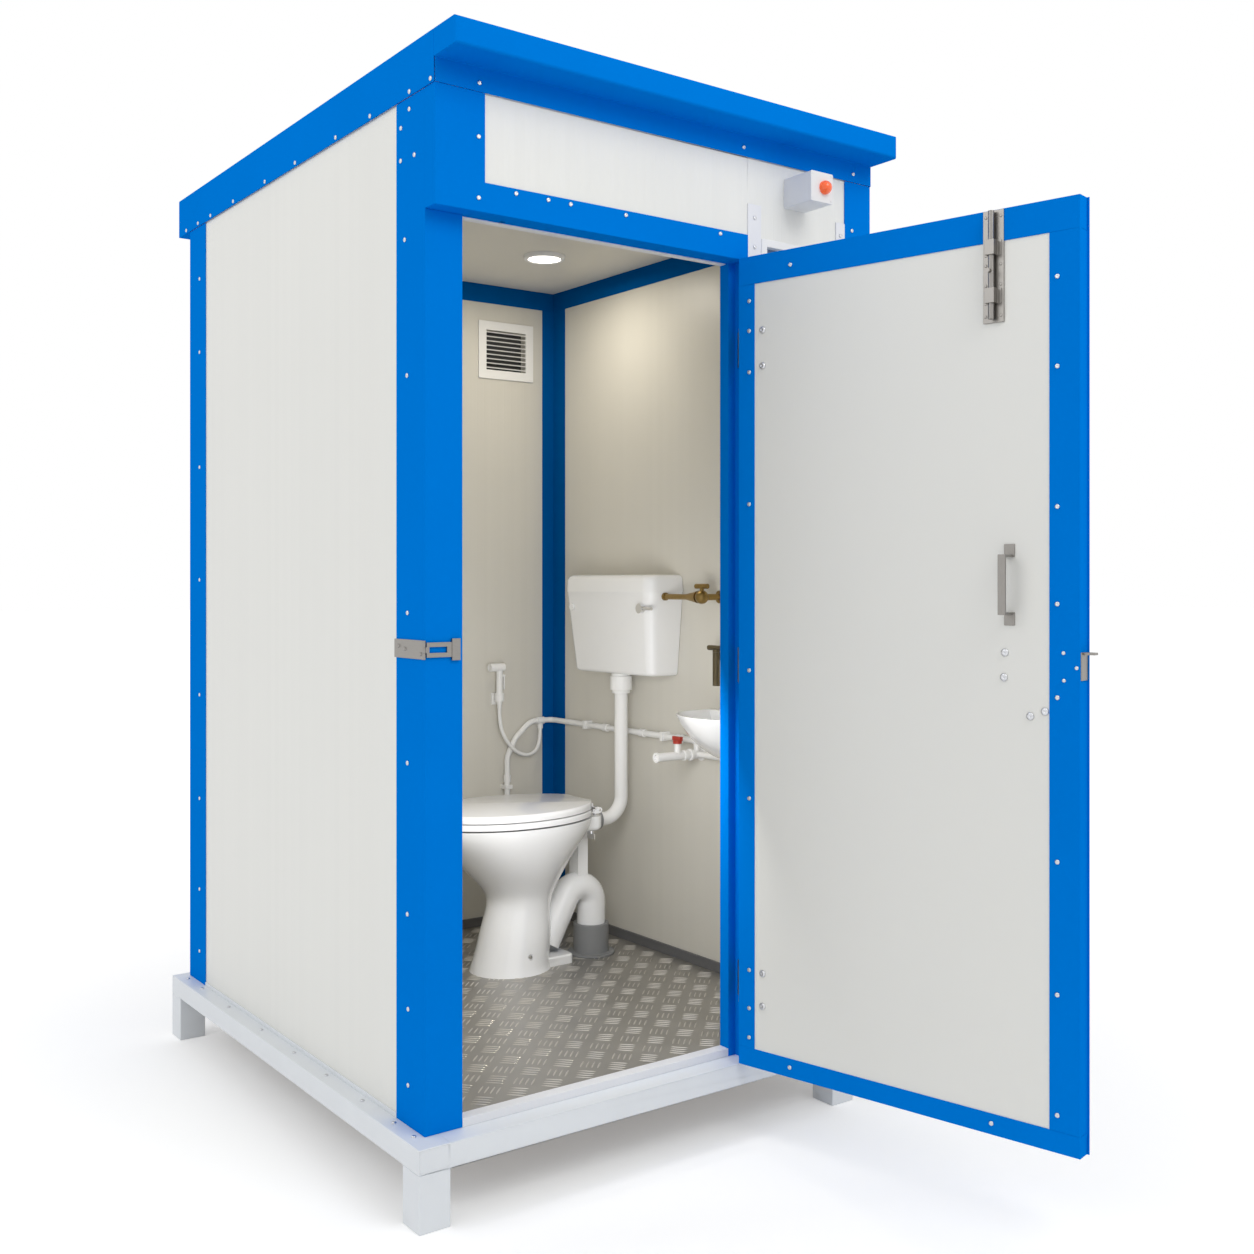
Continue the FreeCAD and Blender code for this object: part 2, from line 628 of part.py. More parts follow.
def cabin_screws():
    """Screws of the shell, row by row."""
    heads = []
    rise = "base_top + (eave - base_top)"
    for share in LEDGE_SHARES:
        for sign in ("-", ""):
            heads.append(screw("+Z", f"{sign}(half + side_ledge * 0.4)", f"base_end * {share}", "base_top"))
    for share in EAVE_SHARES:
        both_sides(heads, "roof_half", f"front_y + (roof_end - front_y) * {share}", "eave + 8")
    for across, share in SIDE_POST_SHARES:
        both_sides(heads, "half", f"post_y + post_side * {across}", f"{rise} * {share}")
    for share in REAR_POST_SHARES:
        both_sides(heads, "half", "rear_y - post_side * 0.66", f"{rise} * {share}")
        for sign in ("-", ""):
            heads.append(screw("+Y", f"{sign}(half - post_back * 0.75)", "rear_y", f"{rise} * {share}"))
    stile_screw_x = "stile_wide - half - 15"
    heads.append(screw("-Y", stile_screw_x, "front_y - sheet", "eave + 17"))
    heads.append(screw("-Y", stile_screw_x, "front_y", "eave - upper_height / 2"))
    heads.append(screw("-Y", stile_screw_x, "front_y", "band_top - band_height * 0.55"))
    for share in BAND_SHARES:
        heads.append(screw("-Y", f"opening_left + (opening_right - opening_left) * {share}", "front_y",
                           "band_top - 10"))
    for share in (0.313, 0.897):
        heads.append(screw("-Y", f"half * {share}", "front_y - sheet", "eave + 20"))
    for share in FRONT_POST_SHARES:
        heads.append(screw("-Y", "half - right_post_face * 0.73", "front_y",
                           f"{rise} * {share}"))
    for share in STRIP_SHARES:
        height = f"strip_low + strip_tall * {share}"
        heads.append(screw("-Y", "window_left - strip_wide / 2", "front_y", height))
        heads.append(screw("-Y", "window_right + strip_narrow / 2", "front_y", height))
    node("cabin_screws", heads)


def window():
    deep = ("front_y - 2", "panel_in_y + 2")
    outer = block("window_left", "window_right", *deep, "window_low", "window_top")
    glass = ("window_left + window_border", "window_right - window_border")
    high = ("window_low + window_border", "window_top - window_border")
    hole = block(*glass, "front_y - 3", "panel_in_y + 3", *high)
    node("window_frame", [cut(outer, hole)])
    node("window_pane", [block(*glass, "panel_y + 12", "panel_y + 17", *high)])


def grille(face_y, sign):
    """A louvred plate standing on a wall face; sign is the way it stands out along Y."""
    near, far = (face_y, f"{face_y} + grille_thick") if sign > 0 else (f"{face_y} - grille_thick", face_y)
    plate = block("vent_left", "vent_left + vent_wide", near, far, "vent_low", "vent_low + vent_tall")
    left, right = "vent_left + vent_border", "vent_left + vent_wide - vent_border"
    low, high = "vent_low + vent_border", "vent_low + vent_tall - vent_border"
    hole = block(left, right, f"({near}) - 1", f"({far}) + 1", low, high)
    pieces = [cut(plate, hole)]
    for number in range(int(value("slat_count"))):
        slat = document.addObject("Part::Box", "Slat")
        bind(slat, "Length", f"({right}) - ({left})")
        bind(slat, "Width", "grille_thick * 1.1")
        bind(slat, "Height", "slat_thick")
        level = f"{low} + (vent_tall - 2 * vent_border) * {number + 0.35} / slat_count"
        tilt = FreeCAD.Rotation(Vector(1, 0, 0), SLAT_TILT * -sign)
        pieces.append(place(slat, left, f"{near} + 0.2", level, tilt))
    return pieces


def services():
    node("vent_grilles", grille("rear_in", -1) + grille("rear_out", 1))

    body = ring("-Z", "light_x", "light_y", "ceiling", "light_round", "light_round - 13", "12")
    lens = rod("-Z", "light_x", "light_y", "ceiling", "light_round - 13", "10")
    body = rounded(body, 3, lambda middle, along: middle.z < value("ceiling - 11"))
    node("ceiling_light", [body, lens])

    x0, x1, z0, z1 = "box_left", "box_left + box_wide", "box_low", "box_low + box_wide"
    cover_y = "panel_y - box_deep"
    shell = block(x0, x1, f"{cover_y} + 6", "panel_y", z0, z1)
    shell = rounded(shell, 4, lambda middle, along: abs(along.y) > 0.9)
    hollow = block(f"{x0} + 3", f"{x1} - 3", f"{cover_y} + 5", "panel_y - 3", f"{z0} + 3", f"{z1} - 3")
    cover = block(x0, x1, cover_y, f"{cover_y} + 6", z0, z1)
    cover = rounded(cover, 3, lambda middle, along: abs(along.y) > 0.9)
    heads = [screw("-Y", x, cover_y, z, "2.2", "1.2") for x in (f"{x0} + 6", f"{x1} - 6")
             for z in (f"{z0} + 6", f"{z1} - 6")]
    node("junction_box", [cut(shell, hollow), cover] + heads)
    lens_x, lens_z = "box_left + box_wide * 0.6", "box_low + box_wide / 2"
    base = rod("-Y", lens_x, cover_y, lens_z, "lens_round", "5")
    dome = ball(lens_x, f"{cover_y} - 3", lens_z, "lens_round")
    behind = block(f"{lens_x} - 40", f"{lens_x} + 40", cover_y, f"{cover_y} + 40", f"{lens_z} - 40",
                   f"{lens_z} + 40")
    node("beacon_lens", [cut(fuse(base, dome), behind)])


HINGE_LEVELS = ["door_top - 200", "(door_top + door_low) / 2 - 12", "door_low + 180"]


def hinge_knuckle(low, high, bore):
    """A knuckle barrel about the hinge pin, in a frame whose origin is the pin."""
    outer = rod("+Z", "0", "0", low, "knuckle_round", f"({high}) - ({low})")
    return cut(outer, rod("+Z", "0", "0", low, bore, f"({high}) - ({low})"))


def hinges():
    """Three butt hinges: leaves on post limb and door edge, pins fixed in the frame leaves."""
    frame_side, door_side = [], []
    for middle in HINGE_LEVELS:
        low, high = f"{middle} - hinge_tall / 2", f"{middle} + hinge_tall / 2"
        third = "hinge_tall / 3"
        near, far = "knuckle_round + 0.6", "door_back - 3"
        plate = block("door_gap - leaf_thick", "door_gap", near, far, low, high)
        bore = "hinge_pin_round"
        parts = [plate]
        for z0, z1 in ((low, f"{low} + {third}"), (f"{high} - {third}", high)):
            tab = cut(block("door_gap - leaf_thick", "door_gap", "0", near, z0, z1),
                      rod("+Z", "0", "0", z0, bore, third))
            parts += [hinge_knuckle(z0, z1, bore), tab]
        frame_side.append(fuse(*parts))
        frame_side.append(rod("+Z", "0", "0", f"{low} - 2", bore, "hinge_tall + 4"))
        z0, z1 = f"{low} + {third} + 0.4", f"{high} - {third} - 0.4"
        bore = "hinge_pin_round + running_gap"
        plate = block("-(door_gap)", "leaf_thick - door_gap", near, "door_back - 3", low, high)
        tab = cut(block("-(door_gap)", "leaf_thick - door_gap", "0", near, z0, z1),
                  rod("+Z", "0", "0", z0, bore, third))
        door_side.append(fuse(plate, hinge_knuckle(z0, z1, bore), tab))
    for piece in frame_side:
        base_z = dict(piece.ExpressionEngine).get(".Placement.Base.z", "0")
        place(piece, "pin_x", "pin_y", "0")
        piece.setExpression(".Placement.Base.z", base_z)
    node("hinge_frame_leaves", frame_side)
    node("door_hinge_leaves", door_side, "door")


# The door is drawn closed about its hinge pin: x = -distance from the pin, y = depth inward.
def door_block(near, far, y0, y1, z0, z1):
    return block(f"-({far})", f"-({near})", y0, y1, z0, z1)


def door():
    """Channels round a sandwich panel, with their screws and bolts."""
    inner = ("door_face + door_sheet", "door_back - door_sheet")
    core = ("door_near + door_sheet", "door_far - door_sheet")
    stile_a = cut(door_block("door_near", "door_near + hinge_stile", "door_face", "door_back",
                             "panel_low_z", "panel_top_z"),
                  door_block(core[0], "door_near + hinge_stile + 1", *inner, "panel_low_z - 1",
                             "panel_top_z + 1"))
    stile_b = cut(door_block("door_far - free_stile", "door_far", "door_face", "door_back",
                             "panel_low_z", "panel_top_z"),
                  door_block("door_far - free_stile - 1", core[1], *inner, "panel_low_z - 1",
                             "panel_top_z + 1"))
    lip = door_block("door_far", "door_far + door_lip", "door_face", "door_face + door_sheet", "door_low",
                     "door_top")
    top = cut(door_block("door_near", "door_far", "door_face", "door_back", "panel_top_z", "door_top"),
              door_block(*core, *inner, "panel_top_z - 1", "door_top - door_sheet"))
    low = cut(door_block("door_near", "door_far", "door_face", "door_back", "door_low", "panel_low_z"),
              door_block(*core, *inner, "door_low + door_sheet", "panel_low_z + 1"))
    node("door_frame", [stile_a, fuse(stile_b, lip), top, low], "door")

    bolts = [("free_edge - 92", "handle_low - 54"), ("free_edge - 94", "handle_low - 103"),
             ("free_edge - 39", "handle_low - 177"), ("free_edge - 9", "handle_low - 166")]
    panel = door_block(*core, *inner, "door_low + door_sheet", "door_top - door_sheet")
    holes = [rod("+Y", f"-({reach})", "door_face", height, "shank_round", "door_thick")
             for reach, height in bolts]
    node("door_panel", [cut(panel, *holes)], "door")
    door_screws(bolts)


# Door screw places: rows on the stiles and rails, each as a share of the door's height from its foot.
HINGE_ROW = "door_near + hinge_stile * 0.68"
FREE_ROW = "door_far - free_stile * 0.73"
HINGE_ROW_SHARES = (0.945, 0.908, 0.857, 0.694, 0.489, 0.331, 0.119, 0.072, 0.036)
FREE_ROW_SHARES = (0.918, 0.824, 0.677, 0.575, 0.477, 0.305, 0.166, 0.040)
HINGE_BOLT_SHARES = (0.907, 0.863, 0.118, 0.078)


def door_screws(bolts):
    """Small screws through the channels, broad heads near the hinges, staple rivets and through-bolts."""
    places = [(HINGE_ROW, f"door_low + door_tall * {share}") for share in HINGE_ROW_SHARES]
    places += [(FREE_ROW, f"door_low + door_tall * {share}") for share in FREE_ROW_SHARES]
    places.append(("door_wide * 0.18", "panel_top_z + top_rail * 0.44"))
    places += [(f"door_wide * {share}", "door_low + low_rail * 0.55") for share in (0.178, 0.777)]
    heads = []
    for reach, height in places:
        heads.append(screw("+Y", f"-({reach})", "door_back", height))
        heads.append(screw("-Y", f"-({reach})", "door_face", height))
    skin = "door_back - door_sheet"
    for share in HINGE_BOLT_SHARES:
        heads.append(screw("+Y", "-(door_near + hinge_stile + bolt_round * 2.7)", skin,
                           f"door_low + door_tall * {share}", "bolt_round", "bolt_tall"))
    for inset, drop in ((33, 1), (7, 29), (32, 54)):
        heads.append(screw("+Y", f"-(door_far - {inset})", "door_back", f"hasp_z - {drop}",
                           "screw_round * 0.8", "screw_tall * 0.8"))
    for reach, height in bolts:
        inside = "door_face + door_sheet"
        shank = rod("+Y", f"-({reach})", inside, height, "shank_round", "door_thick - 2 * door_sheet")
        head = cone("+Y", f"-({reach})", skin, height, "bolt_round", "bolt_round * 0.75", "bolt_tall")
        nut = rod("-Y", f"-({reach})", inside, height, "bolt_round", "bolt_tall")
        heads.append(fuse(shank, head, nut))
    node("door_screws", heads, "door")


def tower_bolt():
    """Sliding bolt at the door's top: plate with guides, and its rod with a knob."""
    foot, face = "door_top - 225", "door_back + bolt_plate_thick"
    plate = door_block("bolt_w - 22", "bolt_w + 22", "door_back", face, foot, "door_top - 1")
    centre = f"{face} + rod_stand"
    pieces = [plate]
    for low in ("door_top - 92", "door_top - 188"):
        high = f"{low} + 30"
        pieces.append(door_block("bolt_w - 10", "bolt_w + 10", face, f"{centre} + rod_round + 3", low, high))
        pieces.append(door_block("bolt_w - 18", "bolt_w + 18", face, f"{face} + 2", low, high))
    bore = rod("+Z", "-(bolt_w)", centre, "door_top - 230", "rod_round + 0.3", "260")
    heads = []
    for drop in ("14", "110", "150", "212"):
        for side in ("-16", "16"):
            heads.append(screw("+Y", f"-(bolt_w) + {side}", face, f"door_top - {drop}", "3.4", "1.6"))
    filler = door_block("bolt_w - 22", "bolt_w + 22", "door_back - door_sheet", "door_back", foot,
                        "panel_top_z")
    node("tower_bolt_plate", [cut(fuse(*pieces), bore), filler] + heads, "door")

    bar = rod("+Z", "-(bolt_w)", centre, "door_top - 219", "rod_round", "215")
    knob = rod("+Y", "-(bolt_w)", f"{centre} + rod_round - 3", "door_top - 124", "4", "12")
    node("tower_bolt_rod", [fuse(bar, knob)], "door")


def strap_handle(face, way):
    """A bent strap pull handle standing on one face of the door."""
    thick = 5
    out = "+" if way > 0 else "-"
    low, high = "handle_low", "handle_low + handle_tall"
    near, far = "handle_w - 11", "handle_w + 11"

    def span(start, end):
        edge = sorted([(start, f"{face} {out} ({start})"), (end, f"{face} {out} ({end})")],
                      key=lambda pair: value(pair[1]))
        return edge[0][1], edge[1][1]
    foot = span("0", f"{thick} * 0.6")
    reach = span(f"handle_reach - {thick}", "handle_reach")
    leg = span("0", "handle_reach")
    return fuse(
        door_block(near, far, *foot, low, f"{low} + 26"),
        door_block(near, far, *foot, f"{high} - 26", high),
        door_block("handle_w - 8", "handle_w + 8", *leg, f"{low} + 26 - {thick}", f"{low} + 26"),
        door_block("handle_w - 8", "handle_w + 8", *leg, f"{high} - 26", f"{high} - 26 + {thick}"),
        door_block("handle_w - 8", "handle_w + 8", *reach, f"{low} + 26 - {thick}", f"{high} - 26 + {thick}"))


def door_fittings():
    skin = "door_back - door_sheet"
    node("door_handles", [strap_handle(skin, 1), strap_handle("door_face + door_sheet", -1)], "door")
    plate = door_block("door_far", "door_far + 2.5", "door_face + 3", "door_back - 2", "hasp_z - 53",
                       "hasp_z + 1")
    tongue = door_block("door_far", "tongue_far", "tongue_deep - 16", "tongue_deep", "hasp_z - 4",
                        "hasp_z + 1")
    eye = rod("+Z", "-(tongue_far - 10)", "tongue_deep - 8", "hasp_z - 6", "5", "10")
    node("door_staple", [cut(fuse(plate, tongue), eye)], "door")


def hasp():
    """Fixed plate on the post's side and the slotted strap that swings about its corner pin."""
    low, high = "hasp_z - hasp_tall / 2", "hasp_z + hasp_tall / 2"
    third, barrel_round, pin_round = "hasp_tall / 3", "3.5", "1.8"
    plate = block("-(half) - 2.5", "-(half)", "post_y - 2", "post_y + 128", low, high)
    parts = [cut(plate, rod("+Z", "hasp_pin_x", "hasp_pin_y", low, f"{barrel_round} + 0.3", "hasp_tall"))]
    for z0 in (low, f"{high} - {third}"):
        barrel = ring("+Z", "hasp_pin_x", "hasp_pin_y", z0, barrel_round, pin_round, third)
        web = block("hasp_pin_x + 1", "-(half)", "hasp_pin_y + 2.2", "post_y", z0, f"{z0} + {third}")
        parts += [barrel, web]
    pin = rod("+Z", "hasp_pin_x", "hasp_pin_y", low, pin_round, "hasp_tall")
    rivets = [screw("-X", "-(half) - 2.5", f"post_y + {step}", rise, "4.5", "2.5")
              for step, rise in (("109", "hasp_z + 5"), ("82", "hasp_z"), ("12", "hasp_z - 8"))]
    node("hasp_plate", [fuse(*parts), pin] + rivets)

    z0, z1 = f"{low} + {third} + 0.4", f"{high} - {third} - 0.4"
    barrel = ring("+Z", "hasp_pin_x", "hasp_pin_y", z0, barrel_round, f"{pin_round} + running_gap",
                  f"({z1}) - ({z0})")
    neck = block("hasp_pin_x + 2.4", "-(half) + 2", "hasp_pin_y - 1.25", "hasp_pin_y + 1.25", z0, z1)
    strap = block("-(half) + 2", "-(half) + 60", "hasp_pin_y - 1.25", "hasp_pin_y + 1.25",
                  "hasp_z - 15", "hasp_z + 15")
    slot = block("-(half) + 8", "-(half) + 48", "hasp_pin_y - 3", "hasp_pin_y + 3", "hasp_z - 6",
                 "hasp_z + 6")
    end = block("-(half) + 59", "-(half) + 78", "hasp_pin_y - 2.5", "hasp_pin_y + 2.5",
                "hasp_z - 22", "hasp_z + 22")
    node("hasp_strap", [cut(fuse(barrel, neck, strap, end), slot)])


def half_ellipse(centre, side, tip):
    """The half of an ellipse from one side point over its tip to the opposite side point."""
    long_way = (tip - centre).Length >= (side - centre).Length
    ellipse = Part.Ellipse(tip, side, centre) if long_way else Part.Ellipse(side, tip, centre)
    begin = ellipse.parameter(side)
    finish = ellipse.parameter(centre * 2 - side)
    peak = ellipse.parameter(tip)
    if (peak - begin) % (2 * math.pi) > (finish - begin) % (2 * math.pi):
        begin, finish = finish, begin
    return ellipse.toShape(begin, begin + (finish - begin) % (2 * math.pi))


def egg(x_mid, front, rear, half_width, z):
    """A closed outline of two half ellipses about the toilet's centre line."""
    centre = Vector(x_mid, value("wc_y"), z)
    side = Vector(0, half_width, 0)
    return Part.Wire([half_ellipse(centre, centre + side, centre + Vector(rear, 0, 0)),
                      half_ellipse(centre, centre + side, centre - Vector(front, 0, 0))])


# The pan's outline from floor to rim: share of the height, shift of the outline's middle, its reach to front
# and rear, and its half width as a share of the rim's. The narrowest two are the waist.
PAN_LEVELS = [(0.00, 0, 118, 0.60), (0.06, 2, 112, 0.56), (0.12, 7, 109, 0.545), (0.24, 16, 104, 0.522),
              (0.48, 30, 96, 0.50), (0.62, 22, 130, 0.66), (0.78, 8, 186, 0.86), (0.92, 2, 240, 0.975)]
FIXING_LEVEL = PAN_LEVELS[2]
FIXING_SEAT = 2.5
# The bowl's hollow: share of the height, shift of its middle, its reach to front and rear, and its half width.
# Its front stays about 16 behind the outside of the pan.
BOWL_LEVELS = [(0.50, 10, 62, 64, 60), (0.68, -12, 104, 140, 108), (0.88, -22, 182, 186, 130)]
BOWL_SHIFT = -22
TRAP_SLOPE = math.radians(62)


def toilet_pan():
    """Pedestal pan with its bowl, rear shelf, flush inlet and trap leg."""
    floor, rim, middle, rear = value("floor"), value("rim"), value("pan_mid"), value("pan_rear")
    half_length, half_width, y = value("pan_length / 2"), value("pan_width / 2"), value("wc_y")
    tall = rim - floor
    outlines = [egg(middle + shift, reach, reach, share * half_width, floor + rise * tall)
                for rise, shift, reach, share in PAN_LEVELS]
    outlines.append(egg(middle, half_length, half_length, half_width, rim))
    body = Part.makeLoft(outlines, True, False)
    hollows = [egg(middle + shift, front, back, half, floor + rise * tall)
               for rise, shift, front, back, half in BOWL_LEVELS]
    hollows.append(egg(middle + BOWL_SHIFT, 196, 196, 134, rim + 1))
    bowl = Part.makeLoft(hollows, True, False)

    shelf_long, shelf_wide, shelf_thick, shelf_round = 150, 210, 42, 32
    shelf = Part.makeBox(shelf_long, shelf_wide, shelf_thick,
                         Vector(rear - shelf_long, y - shelf_wide / 2, rim - shelf_thick))
    corners = [edge for edge in shelf.Edges
               if abs(edge.tangentAt(0).z) > 0.9 and edge.valueAt(0).x > rear - 1]
    shelf = shelf.makeFillet(shelf_round, corners)
    low_edges = [edge for edge in shelf.Edges
                 if edge.BoundBox.ZMax < rim - shelf_thick + 1 and edge.BoundBox.XMax > rear - shelf_long + 1]
    shelf = shelf.makeFillet(shelf_round * 0.44, low_edges)

    crown = floor + value("crown_rise")
    rib_thick, rib_wide, rib_low = 34, 46, crown + 56
    rib = Part.makeBox(rib_thick, rib_wide, rim - shelf_thick + 2 - rib_low,
                       Vector(rear - rib_thick - 6, y - rib_wide / 2, rib_low))
    foot_long, foot_wide, foot_tall, foot_round = 120, 124, 26, 20
    foot = Part.makeBox(foot_long, foot_wide, foot_tall,
                        Vector(middle + foot_long / 2, y - foot_wide / 2, floor))
    foot = foot.makeFillet(foot_round, [edge for edge in foot.Edges if abs(edge.tangentAt(0).z) > 0.9])
    foot = foot.makeFillet(foot_round * 0.3, [edge for edge in foot.Edges
                                              if edge.BoundBox.ZMin > floor + foot_tall - 1])

    radius, bend, outlet = value("trap_round"), value("trap_round + 8"), value("outlet_x")
    turn = Vector(outlet - bend, y, crown)
    joint = turn + Vector(-math.sin(TRAP_SLOPE), 0, math.cos(TRAP_SLOPE)) * bend
    start = joint - Vector(math.cos(TRAP_SLOPE), 0, math.sin(TRAP_SLOPE)) * 140
    over = turn + Vector(math.sin(math.radians(14)), 0, math.cos(math.radians(14))) * bend
    finish = Vector(outlet, y, crown)
    below = Vector(outlet, y, floor + 76)
    trap = swept_tube([Part.LineSegment(start, joint).toShape(), Part.Arc(joint, over, finish).toShape(),
                       Part.LineSegment(finish, below).toShape()], radius)

    along, level = Vector(1, 0, 0), value("flush_z")
    inlet = Part.makeCylinder(value("flush_round + 5"), 62, Vector(rear - 24, y, level), along)
    bore = Part.makeCylinder(value("flush_round + 0.6"), 40, Vector(rear + 8, y, level), along)
    pan = body.fuse([shelf, rib, foot, trap, inlet]).removeSplitter()
    seats = [Part.makeCylinder(9, 20, Vector(*spot), Vector(0, sign, 0)) for sign, spot in fixing_spots()]
    below_floor = Part.makeBox(900, 500, 100, Vector(middle - 450, y - 250, floor - 100))
    for taken in [bowl, bore, below_floor] + seats:
        pan = pan.cut(taken)
    node("wc_pan", [solid(pan)])


def fixing_spots():
    """Side and flat seat of each screw that holds the pan's foot."""
    rise, shift, reach, share = FIXING_LEVEL
    out = value("pan_width / 2") * share - FIXING_SEAT
    return [(sign, (value("pan_mid") + shift, value("wc_y") + sign * out,
                    value("floor") + rise * value("rim_height"))) for sign in (-1, 1)]


def seat_outline(x_front, x_rear, half_width, z):
    """The seat's outline: round in front, cut straight at the rear."""
    middle = value("pan_mid") - 12
    return egg(middle, middle - x_front, (x_rear - middle) * 1.08, half_width, z)


def flat_plate(outline, thick, x_rear, hole=None):
    plate = Part.Face(outline).extrude(Vector(0, 0, thick))
    box = plate.BoundBox
    plate = plate.cut(Part.makeBox(200, 600, 100, Vector(x_rear, box.YMin - 50, box.ZMin - 10)))
    if hole is not None:
        plate = plate.cut(Part.Face(hole).extrude(Vector(0, 0, thick)))
    return plate


def toilet_seat():
    """Seat, lid and the hinge posts that carry both."""
    front, rear, half_width = value("pan_front - 2"), value("seat_rear"), value("pan_width / 2 + 3")
    low, thick = value("seat_low"), value("seat_thick")
    middle_y, pin_x, pin_z = value("wc_y"), value("seat_pin_x"), value("seat_pin_z")
    hole_x, hole_reach, hole_half, seat_edge = value("pan_mid") - 24, 150, 108, 5
    seat = flat_plate(seat_outline(front, rear, half_width, low), thick, rear,
                      egg(hole_x, hole_reach, hole_reach, hole_half, low))
    upper = [edge for edge in seat.Edges
             if abs(edge.BoundBox.ZMin - low - thick) < 0.01 and edge.BoundBox.XMax < rear - 1]
    seat = seat.makeFillet(seat_edge, upper)
    pad_round, pad_gap = 9, 0.3
    pads = [Part.makeCylinder(pad_round, value("seat_gap") - pad_gap,
                              Vector(hole_x + ahead, middle_y + aside, value("rim") + pad_gap))
            for ahead, aside in ((-150, 85), (-150, -85), (110, 140), (110, -140))]
    eye_round, lug_wide, lid_lug = 8, 14, 8

    def lugs(offset, wide, level, reach):
        """Two hinge lugs each side of the centre line."""
        made = []
        bore = value("seat_pin_round") + value("running_gap")
        for sign in (-1, 1):
            y0 = middle_y + sign * offset - wide / 2
            eye = Part.makeCylinder(eye_round, wide, Vector(pin_x, y0, pin_z), Vector(0, 1, 0))
            arm = Part.makeBox(pin_x - rear + 4, wide, reach, Vector(rear - 4, y0, level))
            neck = Part.makeBox(10, wide, level - pin_z + reach, Vector(pin_x - 10, y0, pin_z))
            if level > pin_z:
                arm = arm.fuse(neck)
            hole = Part.makeCylinder(bore, wide, Vector(pin_x, y0, pin_z), Vector(0, 1, 0))
            made.append(eye.fuse(arm).cut(hole))
        return made
    seat = seat.fuse(lugs(88, lug_wide, low + 2, 12) + pads).removeSplitter()
    node("wc_seat", [solid(seat)])

    low, thick, edge, shell = value("lid_low"), value("lid_thick"), 9, 8
    levels = [(0, low)] + [(inset, low + thick - drop) for inset, drop in rounding(edge)]
    outlines = [seat_outline(front + inset, rear, half_width - inset, z) for inset, z in levels]
    lid = Part.makeLoft(outlines, True, True)
    box = lid.BoundBox
    lid = lid.cut(Part.makeBox(200, box.YLength + 100, thick + 20, Vector(rear, box.YMin - 50, low - 10)))
    hollow = flat_plate(seat_outline(front + edge, rear - edge, half_width - edge, low), thick - shell,
                        rear - edge)
    lid = lid.cut(hollow)
    lid = lid.fuse(lugs(54, lug_wide, low, lid_lug)).removeSplitter()
    node("wc_lid", [solid(lid)])
    pan_fixings(pin_x, middle_y, pin_z)


def pan_fixings(pin_x, middle_y, pin_z):
    """Hinge posts with their pins, the wing nuts under the rear shelf and the screws of the foot."""
    pieces = []
    rim, across = value("rim"), Vector(0, 1, 0)
    post_round, post_aside, pin_long, collar_round, collar_wide = 7, 71, 50, 8.5, 17
    nut_round, nut_tall, nut_drop, wing_thick, wing_wide, wing_tall = 9, 10, 52.3, 5, 34, 16
    for sign in (-1, 1):
        x, y = pin_x, middle_y + sign * post_aside
        post = Part.makeCylinder(post_round, pin_z - rim, Vector(x, y, rim))
        pin = Part.makeCylinder(value("seat_pin_round"), pin_long, Vector(x, y - pin_long / 2, pin_z), across)
        collar = Part.makeCylinder(collar_round, collar_wide, Vector(x, y - collar_wide / 2, pin_z), across)
        pieces.append(solid(post.fuse([pin, collar]).removeSplitter()))
        nut_x = x - 2 * post_round
        nut = Part.makeCylinder(nut_round, nut_tall, Vector(nut_x, y, rim - nut_drop))
        wing = Part.makeBox(wing_thick, wing_wide, wing_tall,
                            Vector(nut_x - wing_thick / 2, y - wing_wide / 2, rim - 68))
        pieces.append(solid(nut.fuse(wing)))
    cap_round, cap_top, cap_tall = 7, 5, 4
    for sign, spot in fixing_spots():
        pieces.append(solid(Part.makeCone(cap_round, cap_top, cap_tall, Vector(*spot), Vector(0, sign, 0))))
    node("wc_fixings", pieces)


def soil_collar():
    """Grey collar and floor flange round the trap's outlet."""
    x, y = "outlet_x", "wc_y"
    sleeve = rod("+Z", x, y, "floor", "trap_round + 10", "collar_tall")
    flange = rod("+Z", x, y, "floor", "trap_round + 28", "6")
    bore = rod("+Z", x, y, "floor", "trap_round + 0.4", "collar_tall + 1")
    node("soil_pipe_collar", [cut(fuse(sleeve, flange), bore)])


def tank_outline(inset, z, taper, corner, behind=0):
    """A rounded rectangle whose back lies on the right wall, or a little way before it."""
    back, front = value("wall_in") - behind, value("cistern_x") + inset + taper
    near = value("wc_y - cistern_width / 2") + inset + taper
    far = value("wc_y + cistern_width / 2") - inset - taper
    small = value("cistern_wall * 2 / 3")
    spots = [(back, near, small), (front, near, corner), (front, far, corner), (back, far, small)]
    edges = []
    last = None
    for number, (x, y, radius) in enumerate(spots):
        before = spots[number - 1]
        after = spots[(number + 1) % len(spots)]
        corner_point = Vector(x, y, z)
        arrive = (corner_point - Vector(before[0], before[1], z)).normalize()
        leave = (Vector(after[0], after[1], z) - corner_point).normalize()
        first, final = corner_point - arrive * radius, corner_point + leave * radius
        centre = first + leave * radius
        middle = centre - (arrive * -1 + leave).normalize() * radius
        if last is not None:
            edges.append(Part.LineSegment(last, first).toShape())
        else:
            opening = first
        edges.append(Part.Arc(first, middle, final).toShape())
        last = final
    edges.append(Part.LineSegment(last, opening).toShape())
    return Part.Wire(edges)


def rounding(radius, steps=4):
    """Insets and drops that follow a quarter circle inward to a flat face."""
    turns = [math.pi / 2 * number / steps for number in range(steps + 1)]
    return [(radius * (1 - math.cos(turn)), radius * (1 - math.sin(turn))) for turn in turns]


